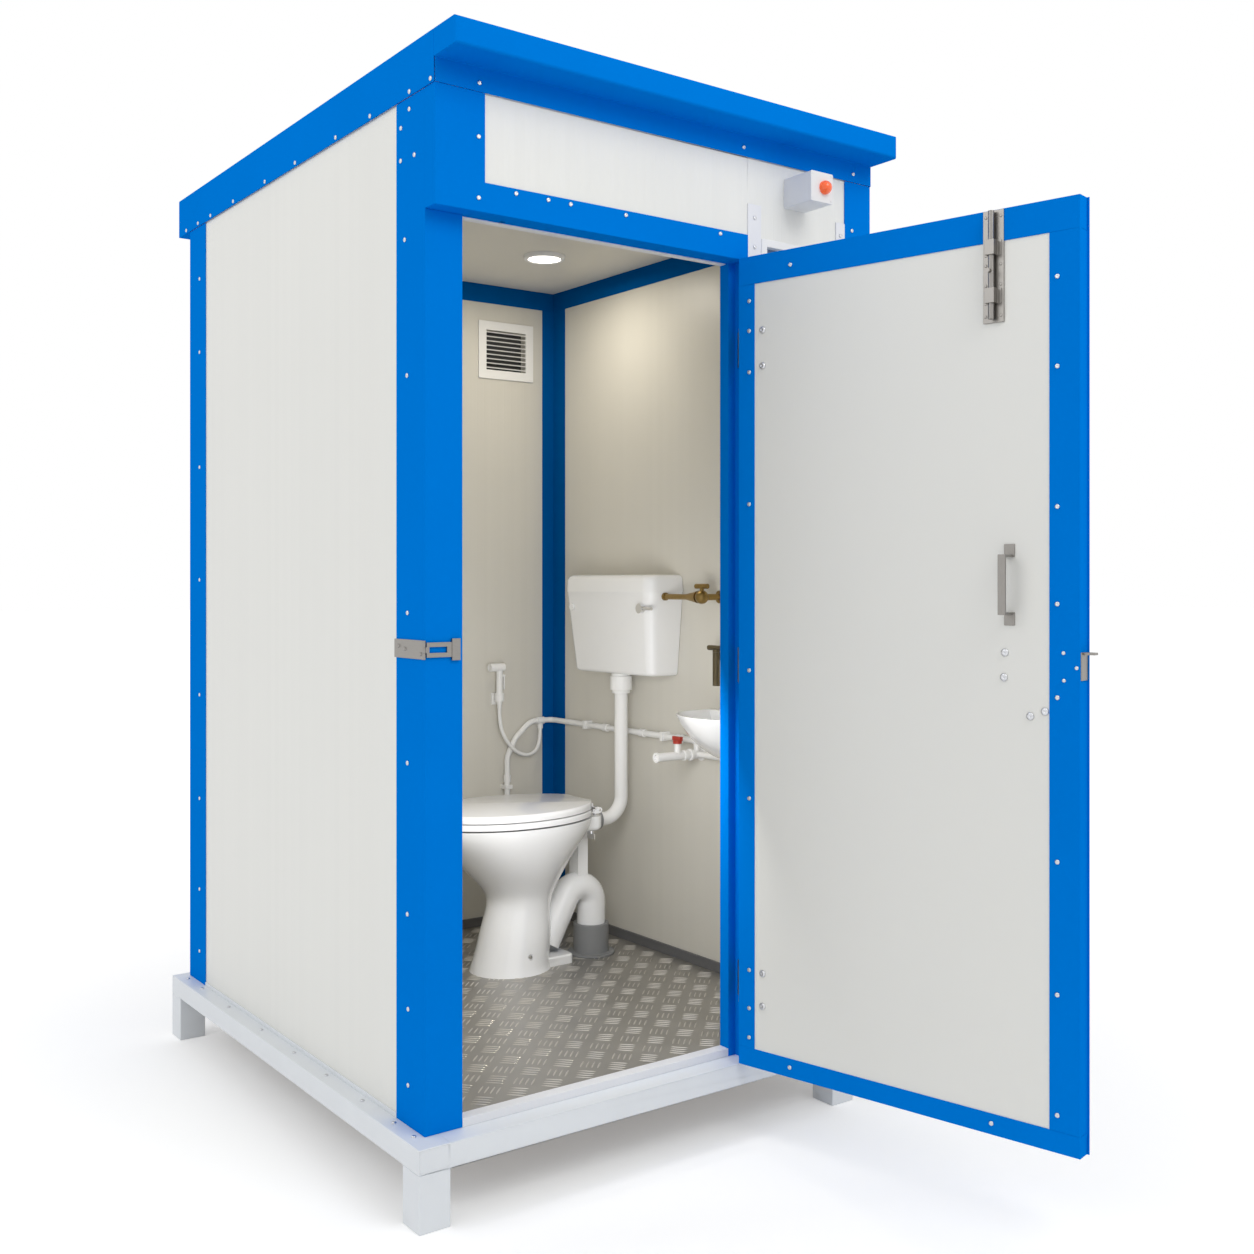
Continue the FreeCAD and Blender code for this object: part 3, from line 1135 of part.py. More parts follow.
def cistern():
    """Tank, lid, siphon, float valve and the flush lever's fixed bush."""
    low, seam, top = value("cistern_low"), value("cistern_seam"), value("cistern_top")
    wall, taper = value("cistern_wall"), value("cistern_taper")
    x, y = value("flush_x"), value("wc_y")
    corner, low_corner, low_edge = 34, 26, 12
    under = [tank_outline(inset, low + rise, taper, low_corner) for inset, rise in reversed(rounding(low_edge))]
    shell = Part.makeLoft(under + [tank_outline(0, seam, 0, corner)], True, True)
    room = Part.makeLoft([tank_outline(wall, low + wall, taper * 0.97, low_corner - wall, wall),
                          tank_outline(wall, seam + 1, 0, corner - wall, wall)], True, True)
    lever_hole, inlet_hole, through = 7, 8, 30
    tail = Part.makeCylinder(value("flush_round - 3"), through, Vector(x, y, low - 5))
    lever = Part.makeCylinder(lever_hole, through + 10,
                              Vector(value("cistern_x") - 5, value(LEVER_Y), value(LEVER_Z)), Vector(1, 0, 0))
    inlet = Part.makeCylinder(inlet_hole, through, Vector(value(INLET_X), value("wc_y - cistern_width / 2") - 5,
                                                          value(INLET_Z)), Vector(0, 1, 0))
    plug = rod("-X", f"{LEVER_FACE} - 1.2", "wc_y + cistern_width / 2 - 46", LEVER_Z, "11", "4")
    node("cistern_tank", [solid(shell.cut(room).cut(tail).cut(lever).cut(inlet)), plug])

    lip, lid_edge, roof = 2, 18, 4
    over = [tank_outline(inset - lip, top - drop, lip, corner) for inset, drop in rounding(lid_edge)]
    cap = Part.makeLoft([tank_outline(-lip, seam, 0, corner + lip)] + over, True, True)
    cap = cap.cut(Part.makeLoft([tank_outline(wall, seam - 1, 0, corner - wall, wall),
                                 tank_outline(wall + roof, top - lid_edge, 3, corner - wall - roof, wall)],
                                True, True))
    node("cistern_lid", [solid(cap)])

    bell_round, bell_tall, stem_round, stem_tall, tail_drop = 31, 110, 9, 24, 42
    body = Part.makeCylinder(value("flush_round - 3.2"), tail_drop + 18, Vector(x, y, low - tail_drop))
    bell = Part.makeCylinder(bell_round, bell_tall, Vector(x, y, low + wall))
    bore = Part.makeCylinder(value("flush_round - 6"), bell_tall + 10, Vector(x, y, low - tail_drop - 1))
    stem = Part.makeCylinder(stem_round, stem_tall, Vector(x, y, low + wall + bell_tall - 1))
    node("cistern_siphon", [solid(body.fuse([bell, stem]).cut(bore).removeSplitter())])


LEVER_Y = "wc_y - cistern_width / 2 + 36"
LEVER_Z = "cistern_seam - 46"
LEVER_FACE = f"cistern_x + cistern_taper * (cistern_seam - ({LEVER_Z})) / (cistern_seam - cistern_low)"
INLET_X = "cistern_x + 56"
INLET_Z = "cistern_seam - 12"
CISTERN_SIDE = "wc_y - cistern_width / 2"
STOP_Y = "wc_y - cistern_width / 2 - 168"
FLOAT_Y = "wc_y - 133"
FLOAT_PIN = "2.5"
ARM_ROUND = "8"


def float_valve():
    """Brass supply arm with its stop valve, entering the tank's side."""
    side, x, z = CISTERN_SIDE, INLET_X, INLET_Z
    arm = rod("-Y", x, side, z, ARM_ROUND, "150")
    tail = rod("+Y", x, side, z, f"{ARM_ROUND} - 0.2", "40")
    prongs = block(f"{x} - 8", f"{x} + 8", f"{side} + 38", f"{FLOAT_Y} + 5", f"{z} - 6", f"{z} + 6")
    between = block(f"{x} - 4.4", f"{x} + 4.4", f"{FLOAT_Y} - 8", f"{FLOAT_Y} + 6", f"{z} - 7", f"{z} + 7")
    pin = rod("+X", f"{x} - 7", FLOAT_Y, z, FLOAT_PIN, "14")
    nut = ring("-Y", x, side, z, "11", "6", "8")
    flare = cone("-Y", x, f"{side} - 100", z, ARM_ROUND, "17", "52")
    valve = ball(x, STOP_Y, z, "19")
    leg = rod("+X", x, STOP_Y, z, "pipe_round", f"wall_in - ({x})")
    rose = rod("-X", "wall_in", STOP_Y, z, "18", "5")
    stem = rod("+Z", x, STOP_Y, z, "6", "32")
    tee = rod("+Y", x, f"{STOP_Y} - 25", f"{z} + 30", "7", "50")
    node("cistern_float_valve", [fuse(arm, tail, cut(prongs, between), pin, nut, flare, valve, leg, rose, stem,
                                      tee)])


def flush_parts():
    """Flush pipe from the tank to the pan, with its nut, seal and the lever's moving piece."""
    x, y, low = value("flush_x"), value("wc_y"), value("cistern_low")
    radius, bend = value("flush_round"), value("flush_bend")
    level = value("flush_z")
    corner = Vector(x, y, level)
    top = Vector(x, y, low - 12)
    first, last = corner + Vector(0, 0, bend), corner - Vector(bend, 0, 0)
    middle = Vector(x - bend, y, level + bend) + Vector(1, 0, -1).normalize() * bend
    end = Vector(value("pan_rear + 14"), y, level)
    edges = [Part.LineSegment(top, first).toShape(), Part.Arc(first, middle, last).toShape(),
             Part.LineSegment(last, end).toShape()]
    tube = swept_tube(edges, radius, radius - 2.8)
    nut_drop, nut_tall, washer_tall, washer_wide = 50, 42, 8, radius + 9
    nut = Part.makeCylinder(radius + 13, nut_tall, Vector(x, y, low - nut_drop))
    skirt = Part.makeCylinder(radius + 7, 10, Vector(x, y, low - nut_drop - 10))
    through = Part.makeCylinder(radius, nut_tall + 12, Vector(x, y, low - nut_drop - 11))
    recess = Part.makeCylinder(washer_wide + 0.2, washer_tall + 1, Vector(x, y, low - washer_tall))
    washer = Part.makeCylinder(washer_wide, washer_tall, Vector(x, y, low - washer_tall))
    washer = washer.cut(Part.makeCylinder(radius - 3, washer_tall, Vector(x, y, low - washer_tall)))
    node("flush_pipe", [solid(tube), solid(nut.fuse(skirt).cut(through).cut(recess)), solid(washer)])
    node("flush_pipe_seal", [ring("+X", "pan_rear + 38", "wc_y", "flush_z", "flush_round + 9", "flush_round",
                                  "10")])


def flush_lever():
    """Round boss, spindle through the tank's front and the hand lever."""
    front = LEVER_FACE
    boss = rod("-X", f"{front} - 1.8", LEVER_Y, LEVER_Z, "14", "13")
    spindle = rod("-X", f"{front} + 22", LEVER_Y, LEVER_Z, "6.9", "24")
    hand = rod("-Y", f"{front} - 8", LEVER_Y, LEVER_Z, "5", "52")
    crank = block(f"{front} + 16", f"{front} + 21", f"{LEVER_Y} - 5", f"{LEVER_Y} + 60", f"{LEVER_Z} - 5",
                  f"{LEVER_Z} + 5")
    node("flush_lever", [fuse(boss, spindle, hand, crank)])


def float_arm():
    """Float arm and ball inside the tank, swinging on the valve's cross pin."""
    hub = ring("+X", f"{INLET_X} - 4", FLOAT_Y, INLET_Z, "6", f"{FLOAT_PIN} + running_gap", "8")
    arm = rod("+Y", INLET_X, f"{FLOAT_Y} + 5.5", INLET_Z, FLOAT_PIN, "208")
    float_ball = ball(INLET_X, f"{FLOAT_Y} + 240", f"{INLET_Z} - 6", "30")
    node("float_arm", [fuse(hub, arm, float_ball)])


def hose_tail(tee_x, tee_z):
    """Threaded tail on the supply pipe where the hose begins."""
    level = value("pipe_z")
    x, y = tee_x, value("rear_in") - value("pipe_stand")
    tail = Part.makeCylinder(9, level - value("pipe_round") - tee_z + 1, Vector(x, y, tee_z))
    collar = Part.makeCylinder(value("pipe_round") + 3, 26, Vector(x - 13, y, level), Vector(1, 0, 0))
    both = tail.fuse(collar).cut(Part.makeCylinder(value("pipe_round"), 26, Vector(x - 13, y, level),
                                                   Vector(1, 0, 0)))
    return solid(both.removeSplitter())


def water_pipes():
    """Supply run round the rear corner, its couplings and clips."""
    stand, level = value("pipe_stand"), value("pipe_z")
    rear = value("rear_in") - stand
    right = value("wall_in") - stand
    riser = value(RISER_X)
    route = [Vector(riser, rear, value("floor")), Vector(riser, rear, level - 110),
             Vector(riser + 30, rear, level - 52), Vector(riser + 88, rear, level),
             Vector(right, rear, level), Vector(right, value(PIPE_END), level)]
    bends = (40, 40, 60, 24)
    radius = value("pipe_round")
    edges, start = [], route[0]
    for before, corner, after, bend in zip(route, route[1:], route[2:], bends):
        arrive = (corner - before).normalize()
        leave = (after - corner).normalize()
        half_turn = arrive.getAngle(leave) / 2
        first, last = (corner - arrive * (bend * math.tan(half_turn)),
                       corner + leave * (bend * math.tan(half_turn)))
        inward = (leave - arrive).normalize()
        middle = corner + inward * (bend / math.cos(half_turn) - bend)
        edges.append(Part.LineSegment(start, first).toShape())
        edges.append(Part.Arc(first, middle, last).toShape())
        start = last
    edges.append(Part.LineSegment(start, route[-1]).toShape())
    lengths = [edges[:1], edges[1:6], edges[6:7], edges[7:8], edges[8:]]
    pieces = [solid(swept_tube(length, radius, radius - 2)) for length in lengths]
    sleeve, coupling_long = "pipe_round + 3", "22"
    pieces.append(ring("+Z", RISER_X, "rear_in - pipe_stand", "pipe_z - 190", sleeve, "pipe_round",
                       coupling_long))
    for y in ("wc_y + 130", "wc_y - 60", "wc_y - 240"):
        pieces.append(ring("+Y", "wall_in - pipe_stand", y, "pipe_z", sleeve, "pipe_round", coupling_long))

    clips = []
    clip_wide, clip_half = "12", "pipe_round + 4"
    for y in ("wc_y + 240", "wc_y - 160"):
        clip = block("wall_in - pipe_stand - pipe_round - 3", "wall_in", y, f"{y} + {clip_wide}",
                     f"pipe_z - ({clip_half})", f"pipe_z + {clip_half}")
        clips.append(cut(clip, rod("+Y", "wall_in - pipe_stand", y, "pipe_z", "pipe_round", clip_wide)))
    for rise in ("floor + 180", "floor + 430"):
        clip = block(f"{RISER_X} - ({clip_half})", f"{RISER_X} + {clip_half}",
                     "rear_in - pipe_stand - pipe_round - 3", "rear_in", rise, f"{rise} + {clip_wide}")
        clips.append(cut(clip, rod("+Z", RISER_X, "rear_in - pipe_stand", rise, "pipe_round", clip_wide)))
    node("supply_pipes", pieces + clips + [hose_tail(*HOSE_END)])


RISER_X = "spray_x + 36"
PIPE_END = "bib_y + 11"
HOSE_END = (value("spray_x") + 161, value("pipe_z - pipe_round") - 17)


BIB_STEM_X = "wall_in - 88"


def bib_tap():
    """Plastic bib tap on a wall elbow, and its turning head."""
    y, z, riser = "bib_y", "bib_z", "wall_in - pipe_stand"
    elbow = rod("-X", "wall_in", y, z, "13", "30")
    rose = rod("-X", "wall_in", y, z, "20", "4")
    body = rod("-X", "wall_in - 30", y, z, "12", "bib_reach - 30")
    flange_a = rod("-X", "wall_in - 40", y, z, "17", "6")
    flange_b = rod("-X", "wall_in - 58", y, z, "15", "10")
    mouth = rod("-X", "wall_in - bib_reach + 6", y, z, "14", "6")
    bore = rod("+X", "wall_in - bib_reach - 1", y, z, "8", "9")
    stem = rod("+Z", BIB_STEM_X, y, z, "9", "34")
    feed = rod("-Y", riser, y, z, "pipe_round", "150")
    link = rod("+Z", riser, y, z, "pipe_round", "pipe_z - bib_z")
    knee = rod("+Y", riser, f"{y} - 11", "pipe_z", "pipe_round + 2", "22")
    node("bib_tap_body", [cut(fuse(elbow, rose, body, flange_a, flange_b, mouth, stem, feed, link, knee),
                              bore)])
    level = "bib_z + 34.3"
    collar = rod("+Z", BIB_STEM_X, y, level, "13", "9")
    wing = block(f"{BIB_STEM_X} - 5", f"{BIB_STEM_X} + 5", f"{y} - 18", f"{y} + 18", f"{level} + 9",
                 f"{level} + 20")
    node("bib_tap_handle", [fuse(collar, wing)])


def basin_outline(reach, half_width, z, ledge=0):
    """A basin outline: straight toward the wall, rounded in front."""
    back, y = value("wall_in") - ledge, value("basin_y")
    shoulder = back - reach * 0.42
    near, far = Vector(back, y - half_width, z), Vector(back, y + half_width, z)
    left, right = Vector(shoulder, y - half_width, z), Vector(shoulder, y + half_width, z)
    front = half_ellipse(Vector(shoulder, y, z), right, Vector(back - reach, y, z))
    edges = [Part.LineSegment(far, near).toShape(), Part.LineSegment(near, left).toShape(), front,
             Part.LineSegment(right, far).toShape()]
    return Part.Wire(Part.__sortEdges__(edges))


TAP_REACH = "57"


def basin():
    """Wall-hung basin with its waste, and the tap above it."""
    rim, deep, wall = value("basin_rim"), value("basin_deep"), value("basin_wall")
    reach, half_width, y = value("basin_reach"), value("basin_wide / 2"), value("basin_y")
    body = Part.makeLoft([basin_outline(reach * share, half_width * share, rim - deep * drop)
                          for share, drop in ((0.46, 1), (0.72, 0.72), (0.93, 0.25), (1, 0))], True, False)
    ledge = reach * 0.25
    bowl = Part.makeLoft([basin_outline(reach * 0.22, half_width * 0.32, rim - deep + wall * 1.6, ledge),
                          basin_outline(reach * 0.43, half_width * 0.60, rim - deep * 0.66, ledge),
                          basin_outline(reach * 0.75 - wall, half_width - wall * 1.5, rim + 1, ledge)],
                         True, False)
    centre_x = value("wall_in") - reach * 0.34
    drain = Part.makeCylinder(17, 60, Vector(centre_x, y, rim - deep - 20))
    node("wash_basin", [solid(body.cut(bowl).cut(drain))])

    x = "wall_in - basin_reach * 0.34"
    low = "basin_rim - basin_deep"
    drain_wide, waste_round, tail_long = "16.6", "15", "60"
    tail_top = f"{low} + basin_wall * 1.6"
    tail = ring("-Z", x, "basin_y", tail_top, drain_wide, "13", tail_long)
    flange_ring = ring("-Z", x, "basin_y", low, "26", drain_wide, "6")
    drop = rod("-Z", x, "basin_y", f"{tail_top} - {tail_long}", waste_round, "50")
    out = rod("+X", x, "basin_y", f"{low} - 80", waste_round, f"wall_in - ({x})")
    node("basin_waste", [fuse(tail, flange_ring), fuse(drop, out)])

    tap_x, tap_y, tap_z = f"wall_in - {TAP_REACH}", "basin_y + 128", "basin_rim + 168"
    boss = rod("-X", "wall_in", tap_y, f"{tap_z} - 22", "17", "6")
    body = rod("-X", "wall_in", tap_y, f"{tap_z} - 22", "11", TAP_REACH)
    spout = rod("-Z", tap_x, tap_y, f"{tap_z} - 10", "10", "92")
    outlet = rod("+Z", tap_x, tap_y, f"{tap_z} - 103", "6", "8")
    node("basin_tap_body", [cut(fuse(boss, body, spout), outlet)])
    collar = rod("+Z", tap_x, tap_y, f"{tap_z} - 9.7", "10", "8")
    lever = rod("+Y", tap_x, f"{tap_y} - 30", f"{tap_z} + 2", "7", "62")
    node("basin_tap_lever", [fuse(collar, lever)])


def hand_spray():
    """Hand spray in its wall holder, with its trigger and hanging hose."""
    y = "rear_in - 30"
    holder = fuse(block("spray_x - 14", "spray_x + 14", "rear_in - 6", "rear_in", "spray_z - 24",
                        "spray_z + 14"),
                  block("spray_x - 8", "spray_x + 8", "rear_in - 20", "rear_in - 6", "spray_z - 12",
                        "spray_z + 8"),
                  rod("+Z", "spray_x", y, "spray_z - 12", "15", "20"))
    node("bidet_holder", [cut(holder, rod("+Z", "spray_x", y, "spray_z - 13", "10.3", "22"))])

    grip = cone("+Z", "spray_x", y, "spray_z - 24", "8", "10", "12")
    neck = rod("+Z", "spray_x", y, "spray_z - 12", "10", "98")
    flare = rod("+Z", "spray_x", y, "spray_z + 8.3", "15", "6")
    head = rod("-X", "spray_x + 16", y, "spray_z + 96", "13", "52")
    tail = rod("+Z", "spray_x", y, "spray_z - 34", "7", "10")
    pivot_x, pivot_z = "spray_x + 15", "spray_z + 70"
    boss = block("spray_x + 6", f"{pivot_x} + 3", f"{y} - 7", f"{y} + 7", f"{pivot_z} - 3", f"{pivot_z} + 3")
    space = block("spray_x + 10", f"{pivot_x} + 4", f"{y} - 4", f"{y} + 4", f"{pivot_z} - 4",
                  f"{pivot_z} + 4")
    pin = rod("+Y", pivot_x, f"{y} - 6", pivot_z, "1.5", "12")
    joined = fuse(cut(fuse(grip, neck, flare, head, tail, boss), space), pin)
    face = rod("+X", "spray_x - 37", y, "spray_z + 96", "10", "3")
    node("bidet_handset", [cut(joined, face)])
    eye = ring("+Y", pivot_x, f"{y} - 3.6", pivot_z, "3", "1.5 + running_gap", "7.2")
    blade = block("spray_x + 14.6", "spray_x + 18", f"{y} - 3.6", f"{y} + 3.6", "spray_z + 26",
                  f"{pivot_z} - 2")
    node("bidet_trigger", [fuse(eye, blade)])

    x, back, z = value("spray_x"), value(y), value("spray_z - 34")
    tee_x, tee_z = HOSE_END
    route = [Vector(x, back, z), Vector(x, back, z - 55), Vector(x + 22, back - 8, z - 107),
             Vector(x + 62, back - 8, z - 147), Vector(x + 114, back - 3, z - 159),
             Vector(tee_x, value("rear_in - pipe_stand"), tee_z - 56),
             Vector(tee_x, value("rear_in - pipe_stand"), tee_z)]
    edges, radii = pipe_path(route)
    tube = swept_tube(edges, value("hose_round"))
    length = sum(edge.Length for edge in edges)
    print("hose length", round(length), "radii", [round(radius) for radius in radii],
          "volume ratio", round(tube.Volume / (math.pi * value("hose_round") ** 2 * length), 4))
    node("bidet_hose", [solid(tube)])


base_frame()
floor_parts()
posts()
header()
walls()
white_trims()
roof()
inside_trims()
cabin_screws()
window()
services()
hinges()
door()
tower_bolt()
door_fittings()
hasp()
toilet_pan()
toilet_seat()
soil_collar()
cistern()
float_valve()
flush_parts()
flush_lever()
float_arm()
water_pipes()
bib_tap()
basin()
hand_spray()
document.recompute()

faults = [thing.Label for thing in document.Objects
          if any(word in thing.State for word in ("Invalid", "Error"))]
faults += [group.Label for group in NODES if group.Shape.isNull() or not group.Shape.isValid()]
if faults:
    raise SystemExit(f"faulty objects: {faults}")
os.makedirs("parts", exist_ok=True)
for group in NODES:
    group.Shape.exportStep(f"parts/{group.Label}.step")
print(len(NODES), "nodes,", sum(len(group.Shape.Solids) for group in NODES), "solids")
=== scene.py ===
import json
import math

import bmesh
import bpy
from mathutils import Matrix, Vector


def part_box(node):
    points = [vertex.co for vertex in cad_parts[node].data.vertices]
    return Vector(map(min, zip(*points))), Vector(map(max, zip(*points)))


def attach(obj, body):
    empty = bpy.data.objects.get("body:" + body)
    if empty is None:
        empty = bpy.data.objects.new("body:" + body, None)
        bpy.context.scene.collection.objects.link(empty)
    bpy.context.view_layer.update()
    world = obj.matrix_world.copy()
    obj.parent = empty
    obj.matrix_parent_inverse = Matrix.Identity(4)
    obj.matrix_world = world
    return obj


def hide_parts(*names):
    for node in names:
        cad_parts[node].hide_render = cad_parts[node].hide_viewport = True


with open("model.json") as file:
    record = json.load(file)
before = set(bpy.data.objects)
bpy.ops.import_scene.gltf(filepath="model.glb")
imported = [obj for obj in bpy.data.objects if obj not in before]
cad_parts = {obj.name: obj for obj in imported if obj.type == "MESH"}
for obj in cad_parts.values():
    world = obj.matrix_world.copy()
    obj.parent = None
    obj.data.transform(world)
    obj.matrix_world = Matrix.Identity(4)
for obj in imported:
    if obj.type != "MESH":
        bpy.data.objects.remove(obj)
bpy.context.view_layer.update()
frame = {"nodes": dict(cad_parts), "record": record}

bl_info = {
    "name": "Portable Toilet Cabin",
    "version": (1, 0, 0),
    "blender": (4, 5, 0),
    "location": "View3D > Sidebar > Cabin",
    "description": "Finishes a portable toilet cabin: panels, steel trims, sanitary ware and fittings",
    "category": "Object",
}

NODES = frame["nodes"]
BODY_OF = {node: body for body, names in frame["record"]["behaviour"]["bodies"].items() for node in names}

# The photograph's side in pixels, and the way back from the base frame's front edge to the frame's origin.
PHOTO_SIDE = 1254
FRONT_TO_MIDDLE = -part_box("base_legs")[0].y


# Sizes and colours that a user would change.

def colour(name, description, default):
    return bpy.props.FloatVectorProperty(name=name, description=description, default=default, size=3,
                                         min=0.0, max=1.0, subtype="COLOR")


def length(name, description, default):
    return bpy.props.FloatProperty(name=name, description=description, default=default, min=0.0,
                                   unit="LENGTH", precision=5)


class CabinFinish(bpy.types.PropertyGroup):
    """Colours and fine sizes of the cabin's shell."""
    blue: colour("Trim blue", "Prepainted sheet of posts, trims and door frame", (0.0, 0.19, 0.70))
    white: colour("Panel white", "Outer skin of the panels", (0.80, 0.80, 0.765))
    # The inside tone is painted shade and warm lamplight on the room side of the panels, darker and warmer
    # than the white.
    inside: colour("Inner painted shade", "Inner painted shade of the panels", (0.66, 0.64, 0.58))
    grey: colour("Base grey", "Paint of the base frame", (0.76, 0.79, 0.82))
    plate: colour("Tread plate", "Metal of the tread plate", (0.40, 0.385, 0.36))
    rib_pitch: length("Rib pitch", "Spacing of the fine lines in the panel skins", 0.025)
    bar_pitch: length("Bar group pitch", "Spacing of like bar groups on the floor", 0.088)
    bar_length: length("Bar length", "Length of one raised bar", 0.042)
    bar_gap: length("Bar spacing", "Spacing of the bars in a group", 0.0132)
    bar_width: length("Bar width", "Width of one raised bar", 0.0046)
    bar_height: length("Bar height", "Height of one raised bar", 0.0014)
    edge: length("Sheet edge", "Rounding of folded sheet edges", 0.0012)


class CabinFittings(bpy.types.PropertyGroup):
    """Colours of the fittings and sanitary ware."""
    ceramic: colour("Ceramic", "Glaze of pan, cistern and basin", (0.89, 0.895, 0.90))
    plastic: colour("White plastic", "Seat, grille, pipes and spray", (0.86, 0.86, 0.855))
    steel: colour("Fitting steel", "Bolt, handles, hasp and hinges", (0.31, 0.295, 0.275))
    zinc: colour("Screw zinc", "Screw heads", (0.62, 0.63, 0.65))
    brass: colour("Aged brass", "Supply arm of the cistern", (0.33, 0.22, 0.075))
    bronze: colour("Bronze", "Basin tap", (0.17, 0.14, 0.085))
    beacon: colour("Beacon", "Lens of the signal lamp", (0.85, 0.11, 0.015))
    lamp: colour("Lamp light", "Colour of the ceiling light", (1.0, 0.93, 0.80))


class CabinStage(bpy.types.PropertyGroup):
    """Camera and light."""
    lens: bpy.props.FloatProperty(name="Lens", description="Focal length on a 36 mm sensor", default=39.33)
    yaw: bpy.props.FloatProperty(name="Turn", description="Camera turned right of the cabin's depth",
                                 default=0.63274, subtype="ANGLE")
    horizon: bpy.props.FloatProperty(name="Horizon", description="Photograph row of the horizon",
                                     default=582.01, subtype="PIXEL")
    eye: bpy.props.FloatVectorProperty(name="Eye", description="Camera place from the cabin's front middle",
                                       default=(-1.89879, -2.38669, 1.27277), subtype="TRANSLATION")
    sky: bpy.props.FloatProperty(name="Sky", description="Strength of the even light", default=0.73)
    key: bpy.props.FloatProperty(name="Key light", description="Soft light in front", default=54.0,
                                 unit="POWER")
    fill: bpy.props.FloatProperty(name="Fill light", description="Soft light from the left", default=36.0,
                                  unit="POWER")
    doorway: bpy.props.FloatProperty(name="Doorway light", description="Soft light inside the doorway",
                                     default=5.8, unit="POWER")
    room: bpy.props.FloatProperty(name="Room light", description="Light under the ceiling", default=2.6,
                                  unit="POWER")


# Shader building blocks.

GROUPS = {}
MADE = {}

# A colour mix's sockets go by number, because each kind of data has one of the same name.
MIX_FIRST = 6
MIX_SECOND = 7
MIX_RESULT = 2

# The pressed lines of a panel skin: a line's share of the pitch, its soft edge, and its depth.
LINE_SHARE = 0.10
LINE_SOFT = 0.05
LINE_DEPTH = 0.0002

# The room's box, where a panel shows its inside tone, which is painted shade and warm lamplight: this far
# inside the outer skins, and past both ends of the walls. The ceiling has boards of its own pitch.
SKIN_DEPTH = 0.012
ROOM_SPARE = 1.0
BOARD_PITCH = 0.6

COAT_ROUGHNESS = 0.12


def give(tree, node, inputs):
    """Link each input to a socket, or set it to a value; inputs go by name or number."""
    for key, item in inputs.items():
        if isinstance(item, bpy.types.NodeSocket):
            tree.links.new(item, node.inputs[key])
        else:
            node.inputs[key].default_value = item


def add_node(tree, kind, inputs=None, **choices):
    """A node with its choices made and its inputs given."""
    made = tree.nodes.new(kind)
    for key, item in choices.items():
        setattr(made, key, item)
    give(tree, made, inputs or {})
    return made


def math_node(tree, operation, *items):
    return add_node(tree, "ShaderNodeMath", dict(enumerate(items)), operation=operation).outputs[0]


def mix_colours(tree, factor, first, second, blend="MIX"):
    inputs = {"Factor": factor, MIX_FIRST: first, MIX_SECOND: second}
    mix = add_node(tree, "ShaderNodeMix", inputs, data_type="RGBA", blend_type=blend)
    return mix.outputs[MIX_RESULT]


def spread(tree, value, low, high):
    """A value between 0 and 1, spread from low to high."""
    node = add_node(tree, "ShaderNodeMapRange", {"Value": value, "To Min": low, "To Max": high})
    return node.outputs["Result"]


def new_group(name, inputs, outputs):
    """A shader node group, with the sockets that come into it and the sockets for its results."""
    group = bpy.data.node_groups.new(name, "ShaderNodeTree")
    for label, kind, default in inputs:
        socket = group.interface.new_socket(label, in_out="INPUT", socket_type=kind)
        if default is not None:
            socket.default_value = default
    for label, kind in outputs:
        group.interface.new_socket(label, in_out="OUTPUT", socket_type=kind)
    return group, group.nodes.new("NodeGroupInput").outputs, group.nodes.new("NodeGroupOutput").inputs


def build_mottle():
    """Two tones drifting over a surface, and a fine grain for the bump."""
    group, given, result = new_group(
        "Mottle",
        [("Tone A", "NodeSocketColor", (0.8, 0.8, 0.8, 1)), ("Tone B", "NodeSocketColor", (0.7, 0.7, 0.7, 1)),
         ("Patch Scale", "NodeSocketFloat", 6.0), ("Grain Scale", "NodeSocketFloat", 900.0),
         ("Rough Low", "NodeSocketFloat", 0.3), ("Rough High", "NodeSocketFloat", 0.42)],
        [("Color", "NodeSocketColor"), ("Roughness", "NodeSocketFloat"), ("Grain", "NodeSocketFloat")])
    place = add_node(group, "ShaderNodeTexCoord").outputs["Object"]
    patch, grain = [
        add_node(group, "ShaderNodeTexNoise", {"Vector": place, "Scale": given[scale], "Detail": detail})
        .outputs["Fac"] for scale, detail in (("Patch Scale", 4.0), ("Grain Scale", 2.0))]
    group.links.new(mix_colours(group, patch, given["Tone A"], given["Tone B"]), result["Color"])
    group.links.new(spread(group, patch, given["Rough Low"], given["Rough High"]), result["Roughness"])
    group.links.new(grain, result["Grain"])
    return group


def build_fine_lines():
    """Fine pressed lines across one axis of the object's own coordinates, as a height and a shade mask."""
    group, given, result = new_group(
        "Fine Lines", [("Along", "NodeSocketFloat", 0.0), ("Pitch", "NodeSocketFloat", 0.0125)],
        [("Height", "NodeSocketFloat"), ("Shade", "NodeSocketFloat")])
    turns = math_node(group, "DIVIDE", given["Along"], given["Pitch"])
    saw = math_node(group, "SUBTRACT", math_node(group, "FRACT", turns), 0.5)
    valley = math_node(group, "SMOOTH_MIN", math_node(group, "ABSOLUTE", saw), LINE_SHARE, LINE_SOFT)
    strip = math_node(group, "FLOOR", turns)
    noise = add_node(group, "ShaderNodeTexWhiteNoise", {"W": strip}, noise_dimensions="1D")
    group.links.new(math_node(group, "MULTIPLY", valley, 1 / LINE_SHARE), result["Height"])
    group.links.new(noise.outputs["Value"], result["Shade"])
    return group


